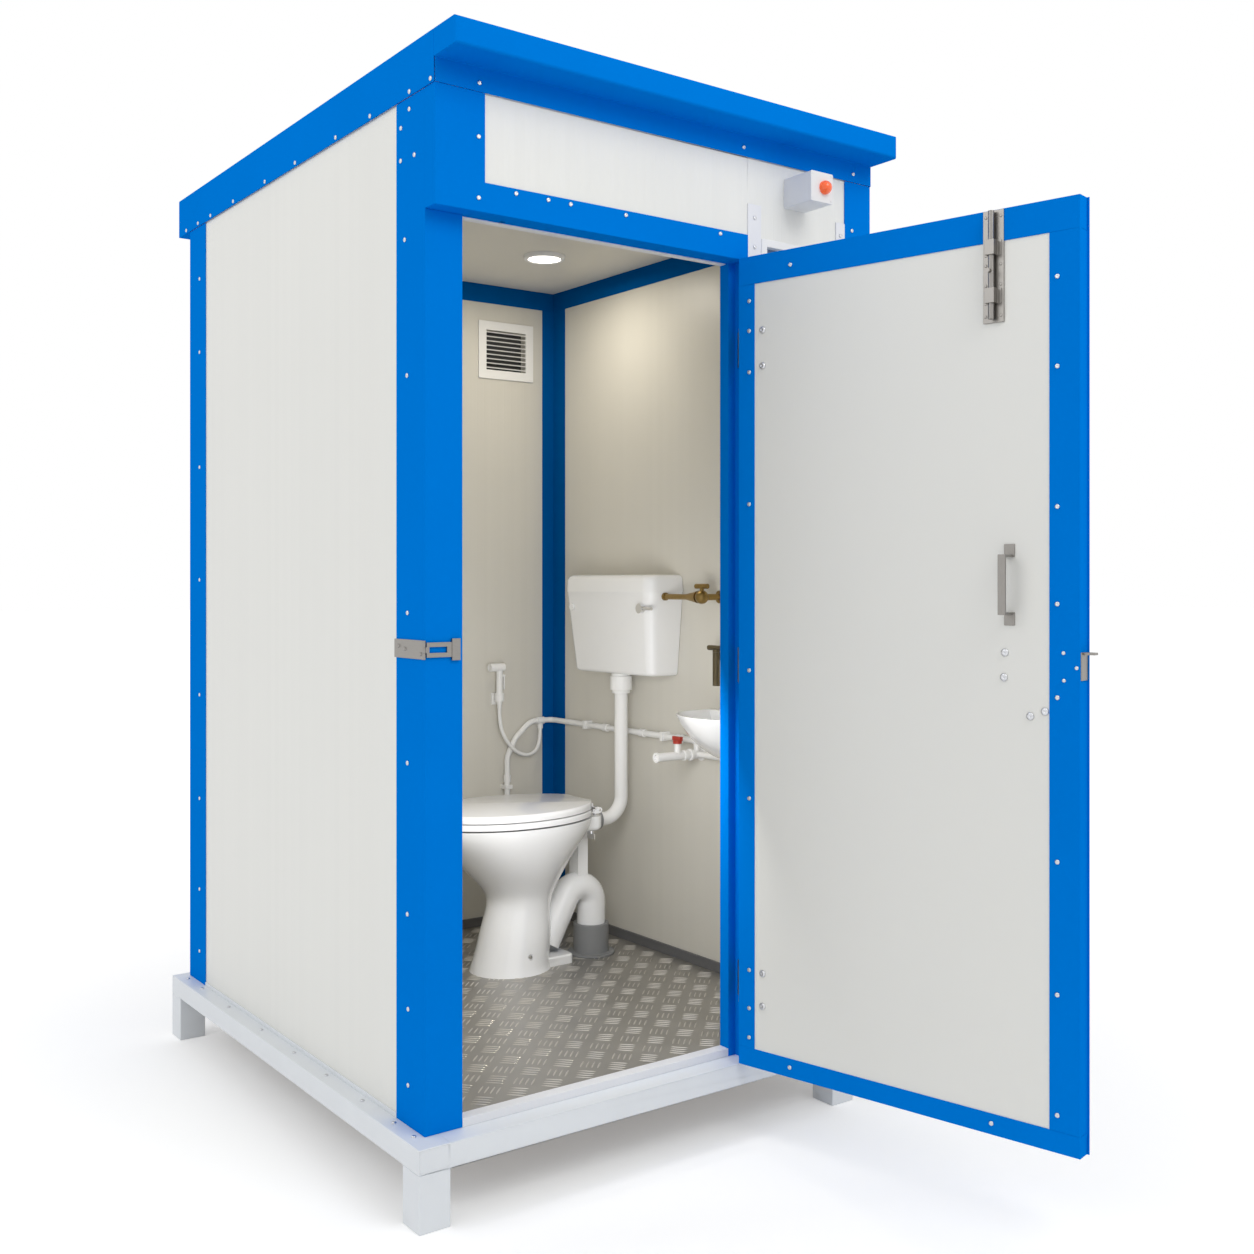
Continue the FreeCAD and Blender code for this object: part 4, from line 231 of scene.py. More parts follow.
def build_brushing():
    """Fine scratches along one axis, for brushed steel."""
    group, given, result = new_group(
        "Brushing", [("Stretch", "NodeSocketVector", None), ("Scale", "NodeSocketFloat", 60.0)],
        [("Scratch", "NodeSocketFloat")])
    place = add_node(group, "ShaderNodeTexCoord").outputs["Object"]
    scaled = add_node(group, "ShaderNodeVectorMath", {0: place, 1: given["Stretch"]}, operation="MULTIPLY")
    noise = add_node(group, "ShaderNodeTexNoise",
                     {"Vector": scaled.outputs[0], "Scale": given["Scale"], "Detail": 6.0})
    group.links.new(noise.outputs["Fac"], result["Scratch"])
    return group


def group_node(tree, name, inputs):
    """The results of a shared group; an input that isn't given keeps the group's own value."""
    return add_node(tree, "ShaderNodeGroup", inputs, node_tree=GROUPS[name]).outputs


def mottle(tree, first, second, patch, rough):
    """The results of a Mottle node in two tones, with its roughness between two values."""
    return group_node(tree, "Mottle", {"Tone A": first, "Tone B": second, "Patch Scale": patch,
                                       "Rough Low": rough[0], "Rough High": rough[1]})


def fresh_material(name):
    material = bpy.data.materials.new(name)
    material.use_nodes = True
    return material, material.node_tree, material.node_tree.nodes["Principled BSDF"]


def tone(rgb, factor=1.0):
    """A colour made darker or lighter, with its alpha."""
    return (min(1.0, rgb[0] * factor), min(1.0, rgb[1] * factor), min(1.0, rgb[2] * factor), 1.0)


def bump(tree, shader, height, distance, strength):
    node = add_node(tree, "ShaderNodeBump", {"Distance": distance, "Strength": strength, "Height": height})
    tree.links.new(node.outputs["Normal"], shader.inputs["Normal"])


# Finishes.

def mottled(name, rgb, rough=(0.3, 0.4), contrast=0.05, patch=5.0, grain=700.0, depth=0.00012, metallic=0.0,
            coat=0.0, strength=0.35, specular=0.5):
    """A finish in two close tones with a fine grain."""
    material, tree, shader = fresh_material(name)
    look = group_node(tree, "Mottle", {
        "Tone A": tone(rgb, 1 - contrast), "Tone B": tone(rgb, 1 + contrast), "Patch Scale": patch,
        "Grain Scale": grain, "Rough Low": rough[0], "Rough High": rough[1]})
    give(tree, shader, {"Base Color": look["Color"], "Roughness": look["Roughness"], "Metallic": metallic,
                        "Specular IOR Level": specular, "Coat Weight": coat,
                        "Coat Roughness": COAT_ROUGHNESS})
    bump(tree, shader, look["Grain"], depth, strength)
    return material


def brushed(name, rgb, stretch, rough=(0.24, 0.48)):
    """Brushed metal whose scratches run along the axis with the smallest stretch."""
    material, tree, shader = fresh_material(name)
    scratch = group_node(tree, "Brushing", {"Stretch": stretch, "Scale": 55.0})["Scratch"]
    give(tree, shader, {"Base Color": mix_colours(tree, scratch, tone(rgb, 0.82), tone(rgb, 1.14)),
                        "Roughness": spread(tree, scratch, *rough), "Metallic": 1.0})
    bump(tree, shader, scratch, 0.0001, 0.3)
    return material


def panel_skin(name, outer, shaded_inner, pitch, along, room, depth=LINE_DEPTH):
    """A sandwich panel's two skins: fine lines across one axis, and inside the room a tone of painted shade
    and warm lamplight.
    """
    material, tree, shader = fresh_material(name)
    place = add_node(tree, "ShaderNodeTexCoord").outputs["Object"]
    split = add_node(tree, "ShaderNodeSeparateXYZ", {0: place}).outputs
    # This mask marks the room's box, where the inside tone paints shade and warm lamplight.
    inside = 1.0
    for axis, low, high in zip("XYZ", *room):
        above = math_node(tree, "GREATER_THAN", split[axis], low)
        under = math_node(tree, "LESS_THAN", split[axis], high)
        inside = math_node(tree, "MULTIPLY", inside, math_node(tree, "MULTIPLY", above, under))
    lines = group_node(tree, "Fine Lines", {"Pitch": pitch, "Along": split[along]})
    outside = mottle(tree, tone(outer, 0.975), tone(outer, 1.02), 3.0, (0.36, 0.46))
    painted_room_shade = mottle(tree, tone(shaded_inner, 0.97), tone(shaded_inner, 1.03), 3.0, (0.36, 0.46))
    skin = mix_colours(tree, inside, outside["Color"], painted_room_shade["Color"])
    shaded = mix_colours(tree, 1.0, skin, spread(tree, lines["Shade"], 0.985, 1.0), "MULTIPLY")
    give(tree, shader, {"Base Color": shaded, "Roughness": outside["Roughness"]})
    bump(tree, shader, lines["Height"], depth, 0.5)
    return material


def beacon_plastic(rgb):
    material, tree, shader = fresh_material("Beacon Lens Plastic")
    look = mottle(tree, tone(rgb, 0.85), tone(rgb, 1.1), 120.0, (0.08, 0.16))
    give(tree, shader, {"Base Color": look["Color"], "Emission Color": look["Color"],
                        "Roughness": look["Roughness"], "Emission Strength": 0.25, "Coat Weight": 0.5})
    return material


def window_glass():
    material, tree, shader = fresh_material("Tinted Window Pane")
    look = mottle(tree, (0.05, 0.13, 0.30, 1), (0.09, 0.20, 0.40, 1), 5.0, (0.05, 0.09))
    give(tree, shader, {"Base Color": look["Color"], "Roughness": look["Roughness"], "Alpha": 0.82,
                        "Coat Weight": 0.6})
    return material


def lamp_diffuser(rgb):
    material, tree, shader = fresh_material("Ceiling Lamp Diffuser")
    colour = group_node(tree, "Mottle", {"Tone A": tone(rgb), "Tone B": (1.0, 1.0, 0.97, 1),
                                         "Patch Scale": 12.0})["Color"]
    give(tree, shader, {"Base Color": colour, "Emission Color": colour, "Emission Strength": 6.0,
                        "Roughness": 0.4})
    return material


def make_materials(finish, fittings):
    """Every finish of the cabin, each under a short name."""
    GROUPS.update({"Mottle": build_mottle(), "Fine Lines": build_fine_lines(), "Brushing": build_brushing()})
    side_low, side_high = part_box("side_wall_panels")
    front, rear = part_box("front_panels")[0].y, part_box("rear_wall_panel")[1].y
    room = ((side_low.x + SKIN_DEPTH, front + SKIN_DEPTH, side_low.z - ROOM_SPARE),
            (side_high.x - SKIN_DEPTH, rear - SKIN_DEPTH, side_high.z + ROOM_SPARE))
    pitch = finish.rib_pitch
    # Both faces of the ceiling take the inside tone a tenth lighter: painted shade and warm lamplight.
    ceiling = tone(finish.inside, 1.1)
    sheet = {"rough": (0.30, 0.40), "contrast": 0.035, "grain": 420.0, "depth": 0.00010, "specular": 0.0}
    MADE.update({
        "blue": mottled("Blue Prepainted Sheet", finish.blue, **sheet),
        # The trims inside the cabin take the blue at 45 %: painted shade on the same prepainted sheet.
        "blue in shade": mottled("Blue Trim In Painted Shade", tone(finish.blue, 0.45), **sheet),
        # A near black sheet fills the duct of the vent: painted shade behind the louvres.
        "duct shade": mottled("Vent Duct Shade", (0.035, 0.036, 0.038), rough=(0.6, 0.8), contrast=0.1),
        "frame": mottled("Pale Grey Frame Paint", finish.grey, rough=(0.34, 0.48), patch=9.0, grain=520.0,
                         depth=0.00018),
        "side skin": panel_skin("Side Panel Skin", finish.white, finish.inside, pitch, "Y", room),
        # Front and rear panels get the white 3 % lighter than the sides: painted light for the better lit
        # front.
        "lit skin": panel_skin("Painted Light Panel Skin", tone(finish.white, 1.03), finish.inside, pitch, "X",
                                 room),
        "ceiling": panel_skin("Ceiling Skin In Painted Shade", ceiling, ceiling, BOARD_PITCH, "X", room, 0.4 * LINE_DEPTH),
        "door skin": mottled("Door Panel Skin", tone(finish.white, 0.99), rough=(0.34, 0.44), contrast=0.012,
                             patch=2.0, grain=300.0, depth=0.0001),
        "tread": mottled("Tread Plate Metal", finish.plate, rough=(0.30, 0.50), contrast=0.16, patch=9.0,
                         grain=260.0, depth=0.0003, metallic=0.7),
        # The raised bars take the metal of the plate 1.7 times lighter: a painted highlight on their lit
        # tops.
        "lit tread bar": mottled("Tread Bar Painted Highlight", tone(finish.plate, 1.7), rough=(0.24, 0.38), contrast=0.12,
                             patch=30.0, metallic=0.75),
        "skirting": mottled("Skirting Strip", (0.13, 0.13, 0.135), rough=(0.40, 0.55)),
        "board": mottled("Floor Board", (0.34, 0.25, 0.16), rough=(0.6, 0.8), contrast=0.2, patch=20.0),
        "white trim": mottled("White Sheet Trim", (0.80, 0.81, 0.84), rough=(0.28, 0.36), contrast=0.02),
        "plastic": mottled("White Plastic", fittings.plastic, rough=(0.26, 0.34), contrast=0.015, coat=0.15),
        "ceramic": mottled("White Glaze", fittings.ceramic, rough=(0.07, 0.12), contrast=0.012, patch=2.5,
                           grain=40.0, depth=0.0002, coat=0.6, strength=0.08),
        "seat": mottled("Seat Plastic", (0.87, 0.87, 0.88), rough=(0.16, 0.22), contrast=0.01, coat=0.3),
        "pipe grey": mottled("Grey Pipe Collar", (0.24, 0.245, 0.25), rough=(0.36, 0.5), contrast=0.08),
        "red": mottled("Red Tap Handle", (0.40, 0.035, 0.02)),
        "steel up": brushed("Brushed Steel Upright", fittings.steel, (26.0, 26.0, 1.2)),
        "steel flat": brushed("Brushed Steel Level", fittings.steel, (1.2, 1.2, 26.0)),
        "zinc": mottled("Zinc Screws", fittings.zinc, rough=(0.24, 0.38), contrast=0.12, patch=90.0,
                        metallic=0.95),
        "chrome": mottled("Bright Chrome", (0.82, 0.82, 0.83), rough=(0.06, 0.12), contrast=0.03,
                          metallic=1.0),
        "brass": mottled("Aged Brass", fittings.brass, rough=(0.30, 0.45), contrast=0.25, patch=60.0,
                         metallic=0.9),
        "bronze": mottled("Bronze", fittings.bronze, rough=(0.35, 0.5), contrast=0.25, patch=60.0,
                          metallic=0.85),
        "box": mottled("Junction Box Plastic", (0.78, 0.79, 0.80), rough=(0.35, 0.45), contrast=0.02),
        "beacon": beacon_plastic(fittings.beacon),
        "pane": window_glass(),
        "lamp": lamp_diffuser(fittings.lamp),
    })


# Mesh helpers.

# Vertices closer than this, in metres, are one.
MERGE_REACH = 0.00002

# Angles in degrees: below FLAT faces are one flat face, below SMOOTH or ROUND they shade as one curve, and
# above SHARP their edge is rounded.
FLAT = 0.4
SMOOTH = 32
ROUND = 50
SHARP = 35


def add_object(name, mesh):
    piece = bpy.data.objects.new(name, mesh)
    bpy.context.scene.collection.objects.link(piece)
    return piece


def paint(piece, material):
    piece.data.materials.clear()
    piece.data.materials.append(material)


def dress(node, material):
    """A CAD node that keeps its mesh and gets its finish."""
    paint(NODES[node], MADE[material])


def merged_copy(node):
    """A node's mesh with its loose triangles joined."""
    work = bmesh.new()
    work.from_mesh(NODES[node].data)
    bmesh.ops.remove_doubles(work, verts=work.verts, dist=MERGE_REACH)
    return work


def islands(work):
    """Lists of vertices that hang together."""
    work.verts.ensure_lookup_table()
    left = set(work.verts)
    found = []
    for seed in work.verts:
        if seed not in left:
            continue
        left.discard(seed)
        group, queue = [seed], [seed]
        while queue:
            for edge in queue.pop().link_edges:
                for vert in edge.verts:
                    if vert in left:
                        left.discard(vert)
                        group.append(vert)
                        queue.append(vert)
        found.append(group)
    return found


def shade_by_angle(work, degrees):
    limit = math.radians(degrees)
    for face in work.faces:
        face.smooth = True
    for edge in work.edges:
        edge.smooth = len(edge.link_faces) == 2 and edge.calc_face_angle(0.0) < limit


def finish_mesh(work, name):
    mesh = bpy.data.meshes.new(name)
    work.to_mesh(mesh)
    work.free()
    return mesh


def settle(piece, node, material):
    """Seat a finished piece in its node's place."""
    paint(piece, MADE[material])
    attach(piece, BODY_OF[node])
    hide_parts(node)


def apply_modifiers(piece):
    """Turn the evaluated object into a plain mesh."""
    graph = bpy.context.evaluated_depsgraph_get()
    graph.update()
    mesh = bpy.data.meshes.new_from_object(piece.evaluated_get(graph), depsgraph=graph)
    piece.modifiers.clear()
    piece.data = mesh


def soften(node, material, width=0.0012, segments=2, smooth=SMOOTH, flat=True):
    """The node's form with edges rounded over a width in metres, as a piece of its own."""
    work = merged_copy(node)
    if flat:
        bmesh.ops.dissolve_limit(work, angle_limit=math.radians(FLAT), verts=work.verts, edges=work.edges)
    shade_by_angle(work, smooth)
    piece = add_object(node + "_finished", finish_mesh(work, node))
    if width:
        bevel = piece.modifiers.new("Edges", "BEVEL")
        bevel.width = width
        bevel.segments = segments
        bevel.limit_method = "ANGLE"
        bevel.angle_limit = math.radians(SHARP)
        bevel.harden_normals = True
        bevel.use_clamp_overlap = True
        apply_modifiers(piece)
    settle(piece, node, material)


def spoke(radius, turn, height):
    """A point at a radius and a turn from the upright axis."""
    return Vector((radius * math.cos(turn), radius * math.sin(turn), height))


def ring(work, centre, radius, height, count):
    """Vertices on a level circle, or the one vertex of a circle without radius."""
    turns = [math.tau * step / count for step in range(count if radius else 1)]
    return [work.verts.new(centre + spoke(radius, turn, height)) for turn in turns]


def bridge(work, near, far):
    """Faces between two rings, of which the near one may be a single vertex."""
    for step in range(len(far)):
        after = (step + 1) % len(far)
        if len(near) == 1:
            work.faces.new((near[0], far[step], far[after]))
        else:
            work.faces.new((near[step], near[after], far[after], far[step]))


def lathe(name, axis, profile, count=64):
    """A piece turned about an upright axis; the profile gives radius and height from the axis point."""
    work = bmesh.new()
    rings = [ring(work, axis, radius, height, count) for radius, height in profile]
    for near, far in zip(rings, rings[1:]):
        bridge(work, near, far)
    bmesh.ops.recalc_face_normals(work, faces=work.faces)
    shade_by_angle(work, ROUND)
    return add_object(name, finish_mesh(work, name))


# Geometry node helpers.

class Tree:
    """A geometry node tree under construction."""

    def __init__(self, name, inputs):
        self.group = bpy.data.node_groups.new(name, "GeometryNodeTree")
        self.group.interface.new_socket("Geometry", in_out="INPUT", socket_type="NodeSocketGeometry")
        self.group.interface.new_socket("Geometry", in_out="OUTPUT", socket_type="NodeSocketGeometry")
        for label, kind in inputs:
            self.group.interface.new_socket(label, in_out="INPUT", socket_type=kind)
        self.given = self.group.nodes.new("NodeGroupInput").outputs
        self.result = self.group.nodes.new("NodeGroupOutput").inputs

    def node(self, kind, inputs=None, **choices):
        """The first result of a new node."""
        return add_node(self.group, kind, inputs, **choices).outputs[0]

    def math(self, operation, *items):
        return math_node(self.group, operation, *items)

    def attribute(self, name, kind):
        """A named attribute of the points."""
        return add_node(self.group, "GeometryNodeInputNamedAttribute", {"Name": name},
                        data_type=kind).outputs["Attribute"]

    def finish(self, geometry):
        real = self.node("GeometryNodeRealizeInstances", {"Geometry": geometry})
        coat = self.node("GeometryNodeSetMaterial", {"Geometry": real, "Material": self.given["Material"]})
        self.group.links.new(coat, self.result[0])


def run_tree(tree, name, mesh, values):
    """Apply a tree to a mesh with its inputs set by identifier, and keep the plain result."""
    piece = add_object(name, mesh)
    modifier = piece.modifiers.new("Shape", "NODES")
    modifier.node_group = tree.group
    for socket in tree.group.interface.items_tree:
        if getattr(socket, "in_out", "") == "INPUT" and socket.name in values:
            modifier[socket.identifier] = values[socket.name]
    apply_modifiers(piece)
    return piece


# A screw head of unit radius: its rings of radius and height, its sides, and the reach, waist and level of
# its cross recess.
HEAD_RINGS = ((1.0, 0.0), (1.0, 0.16), (0.93, 0.36), (0.74, 0.52), (0.44, 0.60))
HEAD_SIDES = 20
CROSS_REACH = 0.26
CROSS_WAIST = 0.10
CROSS_LEVEL = 0.42
HEAD_CURVE = 40

# A fixing longer than LONG_BOLT goes through the door, and has a head's foot BOLT_HEAD in from either end.
# Every head is turned by HEAD_TURN, in radians, from the one before it.
BOLT_HEAD = 0.005
LONG_BOLT = 0.020
HEAD_TURN = 2.399


def screw_head_mesh():
    """A pan head of unit radius with a cross recess."""
    work = bmesh.new()
    rings = [ring(work, Vector(), radius, height, HEAD_SIDES) for radius, height in HEAD_RINGS]
    cross = []
    for step in range(HEAD_SIDES):
        radius = CROSS_WAIST if step % (HEAD_SIDES // 4) else CROSS_REACH
        cross.append(work.verts.new(spoke(radius, math.tau * step / HEAD_SIDES, CROSS_LEVEL)))
    for near, far in zip(rings, rings[1:] + [cross]):
        bridge(work, near, far)
    work.faces.new(cross)
    work.faces.new(list(reversed(rings[0])))
    shade_by_angle(work, HEAD_CURVE)
    return finish_mesh(work, "Screw Head")


def screw_tree():
    """Heads on points, each turned to its own facing and sized by its own radius."""
    tree = Tree("Screw Heads", [("Head", "NodeSocketObject"), ("Material", "NodeSocketMaterial")])
    head = add_node(tree.group, "GeometryNodeObjectInfo", {"Object": tree.given["Head"]})
    facing = tree.attribute("facing", "FLOAT_VECTOR")
    turn = tree.node("FunctionNodeAlignRotationToVector", {"Vector": facing}, axis="Z")
    twist = tree.node("FunctionNodeAxisAngleToRotation",
                      {"Axis": (0, 0, 1), "Angle": tree.attribute("spin", "FLOAT")})
    both = tree.node("FunctionNodeRotateRotation", {"Rotation": turn, "Rotate By": twist},
                     rotation_space="LOCAL")
    points = tree.node("GeometryNodeMeshToPoints", {"Mesh": tree.given["Geometry"]})
    tree.finish(tree.node("GeometryNodeInstanceOnPoints", {
        "Points": points, "Instance": head.outputs["Geometry"], "Rotation": both,
        "Scale": tree.attribute("head_radius", "FLOAT")}))
    return tree


def screw_seats(node):
    """Foot, facing and radius of each head in a CAD node; a through-bolt has one at either end."""
    work = merged_copy(node)
    work.normal_update()
    seats = []
    for island in islands(work):
        area_by_way = {}
        for face in {face for vert in island for face in vert.link_faces}:
            way = tuple(round(item, 2) for item in face.normal)
            area_by_way[way] = area_by_way.get(way, 0.0) + face.calc_area()
        base = Vector(max(area_by_way, key=area_by_way.get))
        middle = sum((vert.co for vert in island), Vector()) / len(island)
        reach = [(vert.co - middle).dot(base) for vert in island]
        radius = max(((vert.co - middle) - base * (vert.co - middle).dot(base)).length for vert in island)
        if max(reach) - min(reach) > LONG_BOLT:
            seats.append((middle + base * (max(reach) - BOLT_HEAD), base, radius))
            seats.append((middle + base * (min(reach) + BOLT_HEAD), -base, radius))
        else:
            seats.append((middle + base * max(reach), -base, radius))
    work.free()
    return seats


def point_mesh(seats):
    """Points with the attributes that the screw tree reads; they are fetched once all three are made."""
    mesh = bpy.data.meshes.new("Screw Seats")
    mesh.from_pydata([tuple(foot) for foot, facing, radius in seats], [], [])
    for label, kind in (("facing", "FLOAT_VECTOR"), ("head_radius", "FLOAT"), ("spin", "FLOAT")):
        mesh.attributes.new(label, kind, "POINT")
    facings, radii, spins = (mesh.attributes[label].data for label in ("facing", "head_radius", "spin"))
    for number, (foot, facing, radius) in enumerate(seats):
        facings[number].vector = facing
        radii[number].value = radius
        spins[number].value = (number * HEAD_TURN) % math.tau
    return mesh


# Operators: one for each piece or group of like pieces.

def settings(context):
    return context.scene.cabin_finish, context.scene.cabin_fittings, context.scene.cabin_stage


class CabinOperator(bpy.types.Operator):
    """Shared base of the cabin's operators."""
    bl_idname = "cabin.base"
    bl_label = "Cabin Step"
    bl_options = {"REGISTER", "UNDO"}

    def execute(self, context):
        self.make(*settings(context))
        return {"FINISHED"}

    def make(self, finish, fittings, stage):
        raise NotImplementedError


class CABIN_OT_materials(CabinOperator):
    """Make the finishes from the chosen colours."""
    bl_idname = "cabin.materials"
    bl_label = "Finishes"

    def make(self, finish, fittings, stage):
        make_materials(finish, fittings)


class CABIN_OT_panels(CabinOperator):
    """Walls, ceiling, roof deck and door leaf with their fine-lined skins."""
    bl_idname = "cabin.panels"
    bl_label = "Panels"

    def make(self, finish, fittings, stage):
        for node, material, width in (
                ("side_wall_panels", "side skin", 0.0014), ("rear_wall_panel", "lit skin", 0.0008),
                ("front_panels", "lit skin", 0.0008), ("ceiling_panel", "ceiling", 0.0008),
                ("door_panel", "door skin", 0.0)):
            soften(node, material, width)
        dress("roof_deck", "frame")
        dress("floor_board", "board")


class CABIN_OT_steelwork(CabinOperator):
    """Posts, trims, canopy, base frame and door channels with soft folded edges."""
    bl_idname = "cabin.steelwork"
    bl_label = "Steelwork"

    def make(self, finish, fittings, stage):
        for node in ("corner_posts", "hinge_post", "header_frame", "roof_edge_trims", "front_canopy",
                     "door_frame"):
            soften(node, "blue", finish.edge)
        # The trims inside get the blue in painted shade.
        soften("interior_blue_trims", "blue in shade", finish.edge)
        for node, material, width, segments in (
                ("base_frame_beams", "frame", 0.004, 3), ("base_legs", "frame", 0.004, 3),
                ("wall_base_channels", "frame", 0.001, 2), ("white_trim_strips", "white trim", 0.0008, 2),
                ("interior_skirting", "skirting", 0.001, 2)):
            soften(node, material, width, segments)


class CABIN_OT_screws(CabinOperator):
    """Pan heads with a cross recess on every fixing point of shell and door."""
    bl_idname = "cabin.screws"
    bl_label = "Screws"

    def make(self, finish, fittings, stage):
        head = add_object("Screw Head", screw_head_mesh())
        tree = screw_tree()
        for node in ("cabin_screws", "door_screws"):
            piece = run_tree(tree, node + "_heads", point_mesh(screw_seats(node)),
                             {"Head": head, "Material": MADE["zinc"]})
            settle(piece, node, "zinc")
        bpy.data.objects.remove(head)


# The bars keep these distances from the tread plate's edges, with more room at the threshold.
BAR_MARGIN = 0.004
BAR_FRONT_MARGIN = 0.030
BARS_IN_GROUP = 4


class CABIN_OT_floor(CabinOperator):
    """Tread plate with groups of four raised bars, turned a quarter from one group to the next."""
    bl_idname = "cabin.floor"
    bl_label = "Tread Plate"

    def make(self, finish, fittings, stage):
        soften("floor_tread_plate", "tread", 0.0)
        low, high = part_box("floor_tread_plate")
        piece = run_tree(self.bar_tree(), "tread_bars", bpy.data.meshes.new("Bars"), {
            "Low X": low.x + BAR_MARGIN, "Low Y": low.y + BAR_FRONT_MARGIN,
            "High X": high.x - BAR_MARGIN, "High Y": high.y - BAR_MARGIN, "Level": high.z,
            "Pitch": finish.bar_pitch, "Length": finish.bar_length, "Gap": finish.bar_gap,
            "Width": finish.bar_width, "Height": finish.bar_height, "Material": MADE["lit tread bar"]})
        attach(piece, "cabin")

    def bar_tree(self):
        """Two square grids of bar groups, the second halfway between the first and turned a quarter."""
        tree = Tree("Tread Bars", [(label, "NodeSocketFloat") for label in (
            "Low X", "Low Y", "High X", "High Y", "Level", "Pitch", "Length", "Gap", "Width", "Height")]
            + [("Material", "NodeSocketMaterial")])
        given = tree.given
        bar = tree.node("GeometryNodeMeshUVSphere", {"Segments": 10, "Rings": 4, "Radius": 0.5})
        size = tree.node("ShaderNodeCombineXYZ", {0: given["Length"], 1: given["Width"],
                                                  2: tree.math("MULTIPLY", given["Height"], 2.0)})
        shaped = tree.node("GeometryNodeTransform", {"Geometry": bar, "Scale": size})
        step = tree.node("ShaderNodeCombineXYZ", {1: given["Gap"]})
        first = tree.math("MULTIPLY", given["Gap"], -(BARS_IN_GROUP - 1) / 2)
        start = tree.node("ShaderNodeCombineXYZ", {1: first})
        row = tree.node("GeometryNodeMeshLine", {"Count": BARS_IN_GROUP, "Start Location": start,
                                                 "Offset": step})
        bars = tree.node("GeometryNodeInstanceOnPoints", {"Points": row, "Instance": shaped})
        spans = [tree.math("SUBTRACT", given["High " + axis], given["Low " + axis]) for axis in "XY"]
        middles = [tree.math("DIVIDE", tree.math("ADD", given["Low " + axis], given["High " + axis]), 2.0)
                   for axis in "XY"]
        middle = tree.node("ShaderNodeCombineXYZ", {0: middles[0], 1: middles[1], 2: given["Level"]})
        joined = add_node(tree.group, "GeometryNodeJoinGeometry")
        for shorter, angle in ((0.0, -math.pi / 4), (1.0, math.pi / 4)):
            pitches = [tree.math("FLOOR", tree.math("DIVIDE", span, given["Pitch"])) for span in spans]
            counts = [tree.math("SUBTRACT", number, shorter) for number in pitches]
            sides = [tree.math("MULTIPLY", tree.math("SUBTRACT", count, 1.0), given["Pitch"])
                     for count in counts]
            grid = tree.node("GeometryNodeMeshGrid", {"Size X": sides[0], "Size Y": sides[1],
                                                      "Vertices X": counts[0], "Vertices Y": counts[1]})
            placed = tree.node("GeometryNodeTransform", {"Geometry": grid, "Translation": middle})
            turn = tree.node("FunctionNodeAxisAngleToRotation", {"Axis": (0, 0, 1), "Angle": angle})
            groups = tree.node("GeometryNodeInstanceOnPoints", {"Points": placed, "Instance": bars,
                                                                "Rotation": turn})
            tree.group.links.new(groups, joined.inputs[0])
        tree.finish(joined.outputs[0])
        return tree


# The dark sheet in the vent's duct, painted shade behind the louvres: how far it stays inside the
# grilles' rims, and its thickness.
SHADE_SHEET_INSET = 0.020
SHADE_SHEET_THICK = 0.001


class CABIN_OT_openings(CabinOperator):
    """Window, pane, the louvred grilles and a dark sheet of painted shade between them."""
    bl_idname = "cabin.openings"
    bl_label = "Window and Grilles"

    def make(self, finish, fittings, stage):
        soften("window_frame", "plastic", 0.002, 3)
        dress("window_pane", "pane")
        soften("vent_grilles", "plastic", 0.0005, 1)
        low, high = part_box("vent_grilles")
        middle, half = (low + high) / 2, (high - low) / 2 - Vector((SHADE_SHEET_INSET, 0.0, SHADE_SHEET_INSET))
        half.y = SHADE_SHEET_THICK / 2
        work = bmesh.new()
        bmesh.ops.create_cube(work, size=2.0, matrix=Matrix.LocRotScale(middle, None, half))
        settle(add_object("vent_screen", finish_mesh(work, "vent_screen")), "vent_grilles", "duct shade")


# The ceiling light: the width of its ring, and the glass's dome in shares of the opening's radius and of
# the light's depth.
LAMP_RING = 0.013
DOME = ((0.0, 0.96), (0.4, 0.94), (0.7, 0.88), (0.9, 0.81), (0.985, 0.74), (1.0, 0.66))


class CABIN_OT_lamps(CabinOperator):
    """Ceiling light, junction box and beacon."""
    bl_idname = "cabin.lamps"
    bl_label = "Lamps"

    def make(self, finish, fittings, stage):
        low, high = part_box("ceiling_light")
        rim, drop = (high.x - low.x) / 2, high.z - low.z
        throat = rim - LAMP_RING
        axis = Vector(((low.x + high.x) / 2, (low.y + high.y) / 2, high.z))
        edge = [(throat, 0.3), (throat, 0.8), (throat + 0.001, 0.94), (throat + 0.003, 1.0),
                (rim - 0.004, 1.0), (rim - 0.001, 0.85), (rim, 0.6), (rim, 0.0)]
        dome = [(share * throat, depth) for share, depth in DOME]
        for name, profile, material in (("ceiling_light_ring", edge, "plastic"),
                                        ("ceiling_light_glass", dome, "lamp")):
            piece = lathe(name, axis, [(radius, -depth * drop) for radius, depth in profile])
            settle(piece, "ceiling_light", material)
        soften("junction_box", "box")
        soften("beacon_lens", "beacon", 0.0)


class CABIN_OT_ceramics(CabinOperator):
    """Pan, seat, lid, cistern and basin in smooth glaze and plastic."""
    bl_idname = "cabin.ceramics"
    bl_label = "Sanitary Ware"

    def make(self, finish, fittings, stage):
        soften("wc_pan", "ceramic", 0.0, smooth=ROUND, flat=False)
        for node, material, width, segments in (
                ("wc_seat", "seat", 0.0015, 2), ("wc_lid", "seat", 0.0015, 2),
                ("cistern_tank", "ceramic", 0.0015, 2), ("cistern_lid", "ceramic", 0.004, 3)):
            soften(node, material, width, segments, ROUND)
        soften("wash_basin", "ceramic", 0.003, 3, ROUND, flat=False)
        soften("wc_fixings", "chrome", 0.0)
        soften("soil_pipe_collar", "pipe grey", 0.0015)


# The hose's radius in metres, and its route in millimetres from the base frame's front edge.
HOSE_RADIUS = 0.006
HOSE_ROUTE = [(352, 1369, 871), (352, 1369, 816), (374, 1361, 764), (414, 1361, 724), (466, 1366, 712),
              (513, 1381, 740), (513, 1381, 796)]


